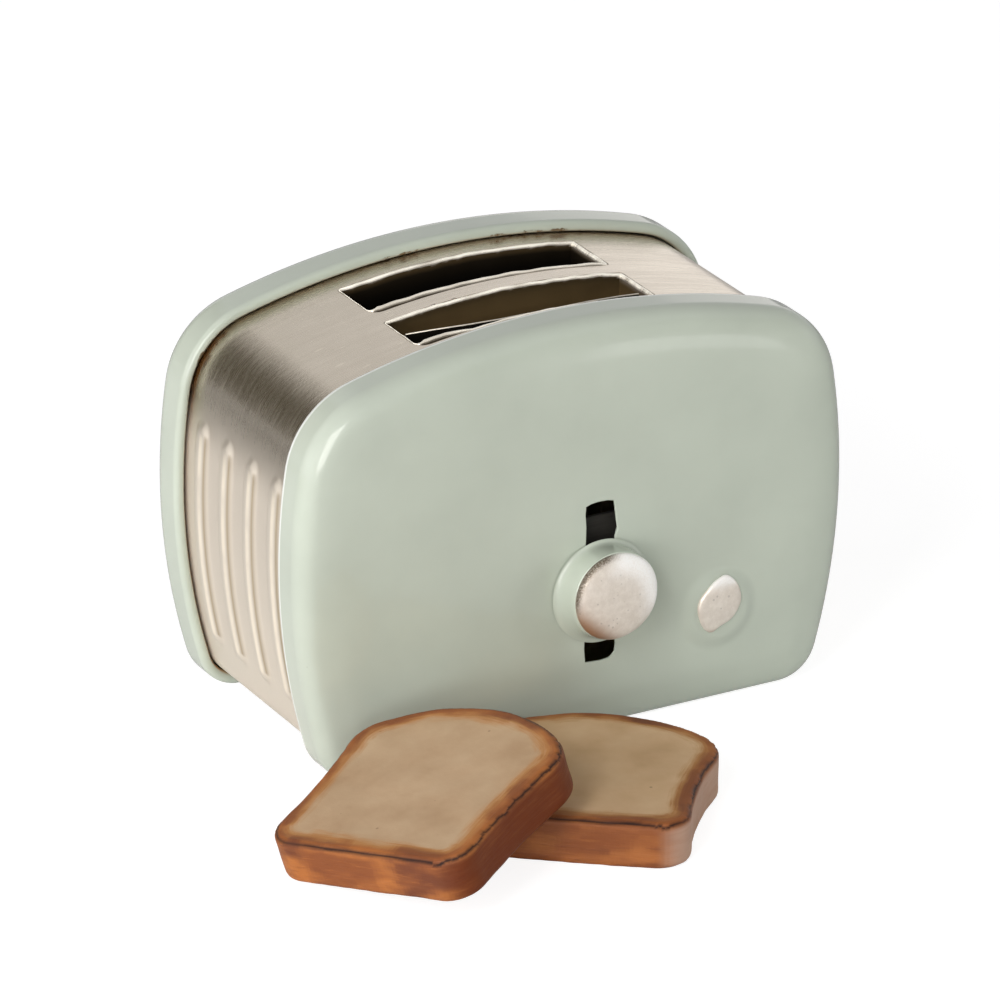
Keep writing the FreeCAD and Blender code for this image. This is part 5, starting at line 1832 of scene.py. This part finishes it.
@dataclass(frozen=True)
class Studio:
    """Camera, floor, world and lamps."""

    aim: Vector = field(default_factory=lambda: Vector((-0.46 * MM, -0.82 * MM, 17.82 * MM)))
    azimuth: float = -28.69
    elevation: float = 23.54
    distance: float = 697.3 * MM
    roll: float = -0.105
    sensor: float = 36.0
    focal_length: float = 279.6
    floor_half: float = 6.0
    floor_glow: float = 1.4
    floor_share: float = 0.62
    world_strength: float = 0.145
    mirrored_strength: float = 0.85
    lamps: tuple[Softbox, ...] = (
        Softbox("key", -82.0, 9.0, 0.62, 0.70, 0.30, 3.4, (1.0, 0.97, 0.99)),
        Softbox("window", -50.0, 34.0, 0.70, 0.16, 0.22, 1.42),
        Softbox("right_box", 64.0, 8.0, 0.70, 0.30, 0.20, 1.3),
        Softbox("front_fill", -20.0, 26.0, 0.90, 0.5, 0.5, 0.9),
        Softbox("top_rear", 175.0, 62.0, 0.70, 0.30, 0.20, 0.2),
        Softbox("front_left", -40.0, 5.0, 0.70, 0.30, 0.20, 0.88),
    )
    cards: tuple[Card, ...] = (
        Card("rear_flag", 202.0, 19.0, 0.6, 0.46, 0.36, (0.104, 0.092, 0.066)),
        Card("floor_flag", 253.3, 0.0, 0.2746, 0.20, 0.30, (0.104, 0.092, 0.066), 121.3),
        Card("key_card", -82.0, 14.0, 0.60, 0.70, 0.34, (1.1, 1.1, 1.1)),
        Card("side_card", 144.0, 6.0, 0.60, 0.25, 0.20, (1.15, 1.13, 1.10)),
        Card("window_card", -35.0, 17.0, 0.70, 0.34, 0.50, (5.5, 5.4, 5.3)),
        Card("front_flag", 40.0, 16.0, 0.70, 0.60, 0.44, (0.30, 0.30, 0.29)),
        Card("streak_card", 31.0, 0.0, 0.265, 0.038, 0.23, (2.0, 2.0, 2.0), 29.0),
    )

    def camera(self) -> None:
        """Places the camera."""
        back = direction(self.azimuth, self.elevation)
        bpy.ops.object.camera_add(location=self.aim + back * self.distance)
        camera = bpy.context.active_object
        camera.name = "camera"
        camera.rotation_mode = "QUATERNION"
        turn = Matrix.Rotation(math.radians(self.roll), 3, back)
        camera.rotation_quaternion = turn.to_quaternion() @ back.to_track_quat("Z", "Y")
        camera.data.sensor_width = self.sensor
        camera.data.lens = self.focal_length
        camera.data.clip_start = 0.01
        camera.data.clip_end = 50.0
        bpy.context.scene.camera = camera

    def floor(self) -> None:
        """Lays the white floor: white to the eye, with the toaster's soft shadow on it."""
        bpy.ops.mesh.primitive_plane_add(size=2 * self.floor_half)
        floor = bpy.context.active_object
        floor.name = "floor"
        material = bpy.data.materials.new("white floor")
        material.use_nodes = True
        tree = material.node_tree
        tree.nodes.clear()
        graph = Graph(tree)
        paper = graph.add("ShaderNodeBsdfDiffuse", {"Color": (0.9, 0.9, 0.9, 1.0)})
        white = {"Color": (1.0, 1.0, 1.0, 1.0), "Strength": self.floor_glow}
        glow = graph.add("ShaderNodeEmission", white)
        path = graph.add("ShaderNodeLightPath")
        seen = graph.times(path.outputs["Is Camera Ray"], self.floor_share)
        mixed = graph.add("ShaderNodeMixShader", {0: seen, 1: paper.outputs[0], 2: glow.outputs[0]})
        output = graph.add("ShaderNodeOutputMaterial", {"Surface": mixed.outputs[0]})
        output.is_active_output = True
        floor.data.materials.append(material)

    def world(self) -> None:
        """Fills the room with plain light; the eye and mirrors see it white."""
        world = bpy.data.worlds.new("studio")
        bpy.context.scene.world = world
        world.use_nodes = True
        graph = Graph(world.node_tree)
        rays = graph.add("ShaderNodeLightPath").outputs
        shown = graph.sums("MAXIMUM", rays["Is Camera Ray"], rays["Is Transmission Ray"])
        glossy = graph.times(rays["Is Glossy Ray"], self.mirrored_strength)
        shown = graph.sums("MAXIMUM", shown, glossy)
        strength = graph.sums("MAXIMUM", shown, self.world_strength)
        shade = {"Color": (1.0, 1.0, 1.0, 1.0), "Strength": strength}
        graph.feed(world.node_tree.nodes["Background"], shade)

    def build(self) -> None:
        """Sets up the whole studio."""
        self.camera()
        self.floor()
        self.world()
        for lamp in self.lamps:
            lamp.build(self.aim)
        for card in self.cards:
            card.build(self.aim)
        bpy.context.scene.view_settings.view_transform = "Standard"


def laid(place: Sequence[float], turn: float) -> Matrix:
    """Gives where a slice lies, in millimetres, and how far it is turned, in degrees."""
    return Matrix.Translation([v * MM for v in place]) @ Matrix.Rotation(math.radians(turn), 4, "Z")


def main() -> None:
    """Builds every piece in order."""
    logging.basicConfig(level=logging.INFO, format="%(name)s: %(message)s")
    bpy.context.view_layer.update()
    deselect_all()
    Studio().build()
    outline = covers_outline()
    mint = Enamel("mint enamel", srgb(188, 196, 181)).material()
    FrontCover(outline).build(mint)
    Cover(outline).build(mint)
    Band(outline).build(BrushedNickel().material())
    champagne = ChampagnePaint().material()
    Lever().build(mint, champagne)
    DialSpot().build(champagne)
    lower = laid((-6.85, -28.3, 0.0), -38.4)
    lean_turn = math.radians(-33.3)
    lean_axis = Vector((math.cos(lean_turn), math.sin(lean_turn), 0.0))
    upper = laid((-23.0, -30.6, 3.72), -62.2) @ Matrix.Rotation(math.radians(16.4), 4, lean_axis)
    pale_paint = PaintedToast(
        "painted toast, flat slice",
        4.0,
        # Painted sheen on the slice's right side.
        srgb(186, 152, 130),
        crust=srgb(132, 75, 40),
        crust_light=srgb(164, 100, 52),
        crumb=srgb(213, 178, 138),
        crumb_light=srgb(222, 190, 151),
        crumb_dark=srgb(198, 162, 122),
    )
    Slice("toast_flat", "lower_toast", Body.LOWER_SLICE, lower, 11.0).build(pale_paint.material())
    leaning = Slice(
        "toast_leaning", "upper_toast", Body.UPPER_SLICE, upper, 23.0, hollow_radius=60.0 * MM
    )
    dark_paint = PaintedToast(
        "painted toast, leaning slice",
        9.0,
        # Painted shade on the slice's right side.
        srgb(100, 42, 6),
        crust=srgb(132, 76, 42),
        crust_light=srgb(172, 106, 54),
    )
    leaning.build(dark_paint.material())
    Works().dress()


if __name__ == "__main__":
    main()
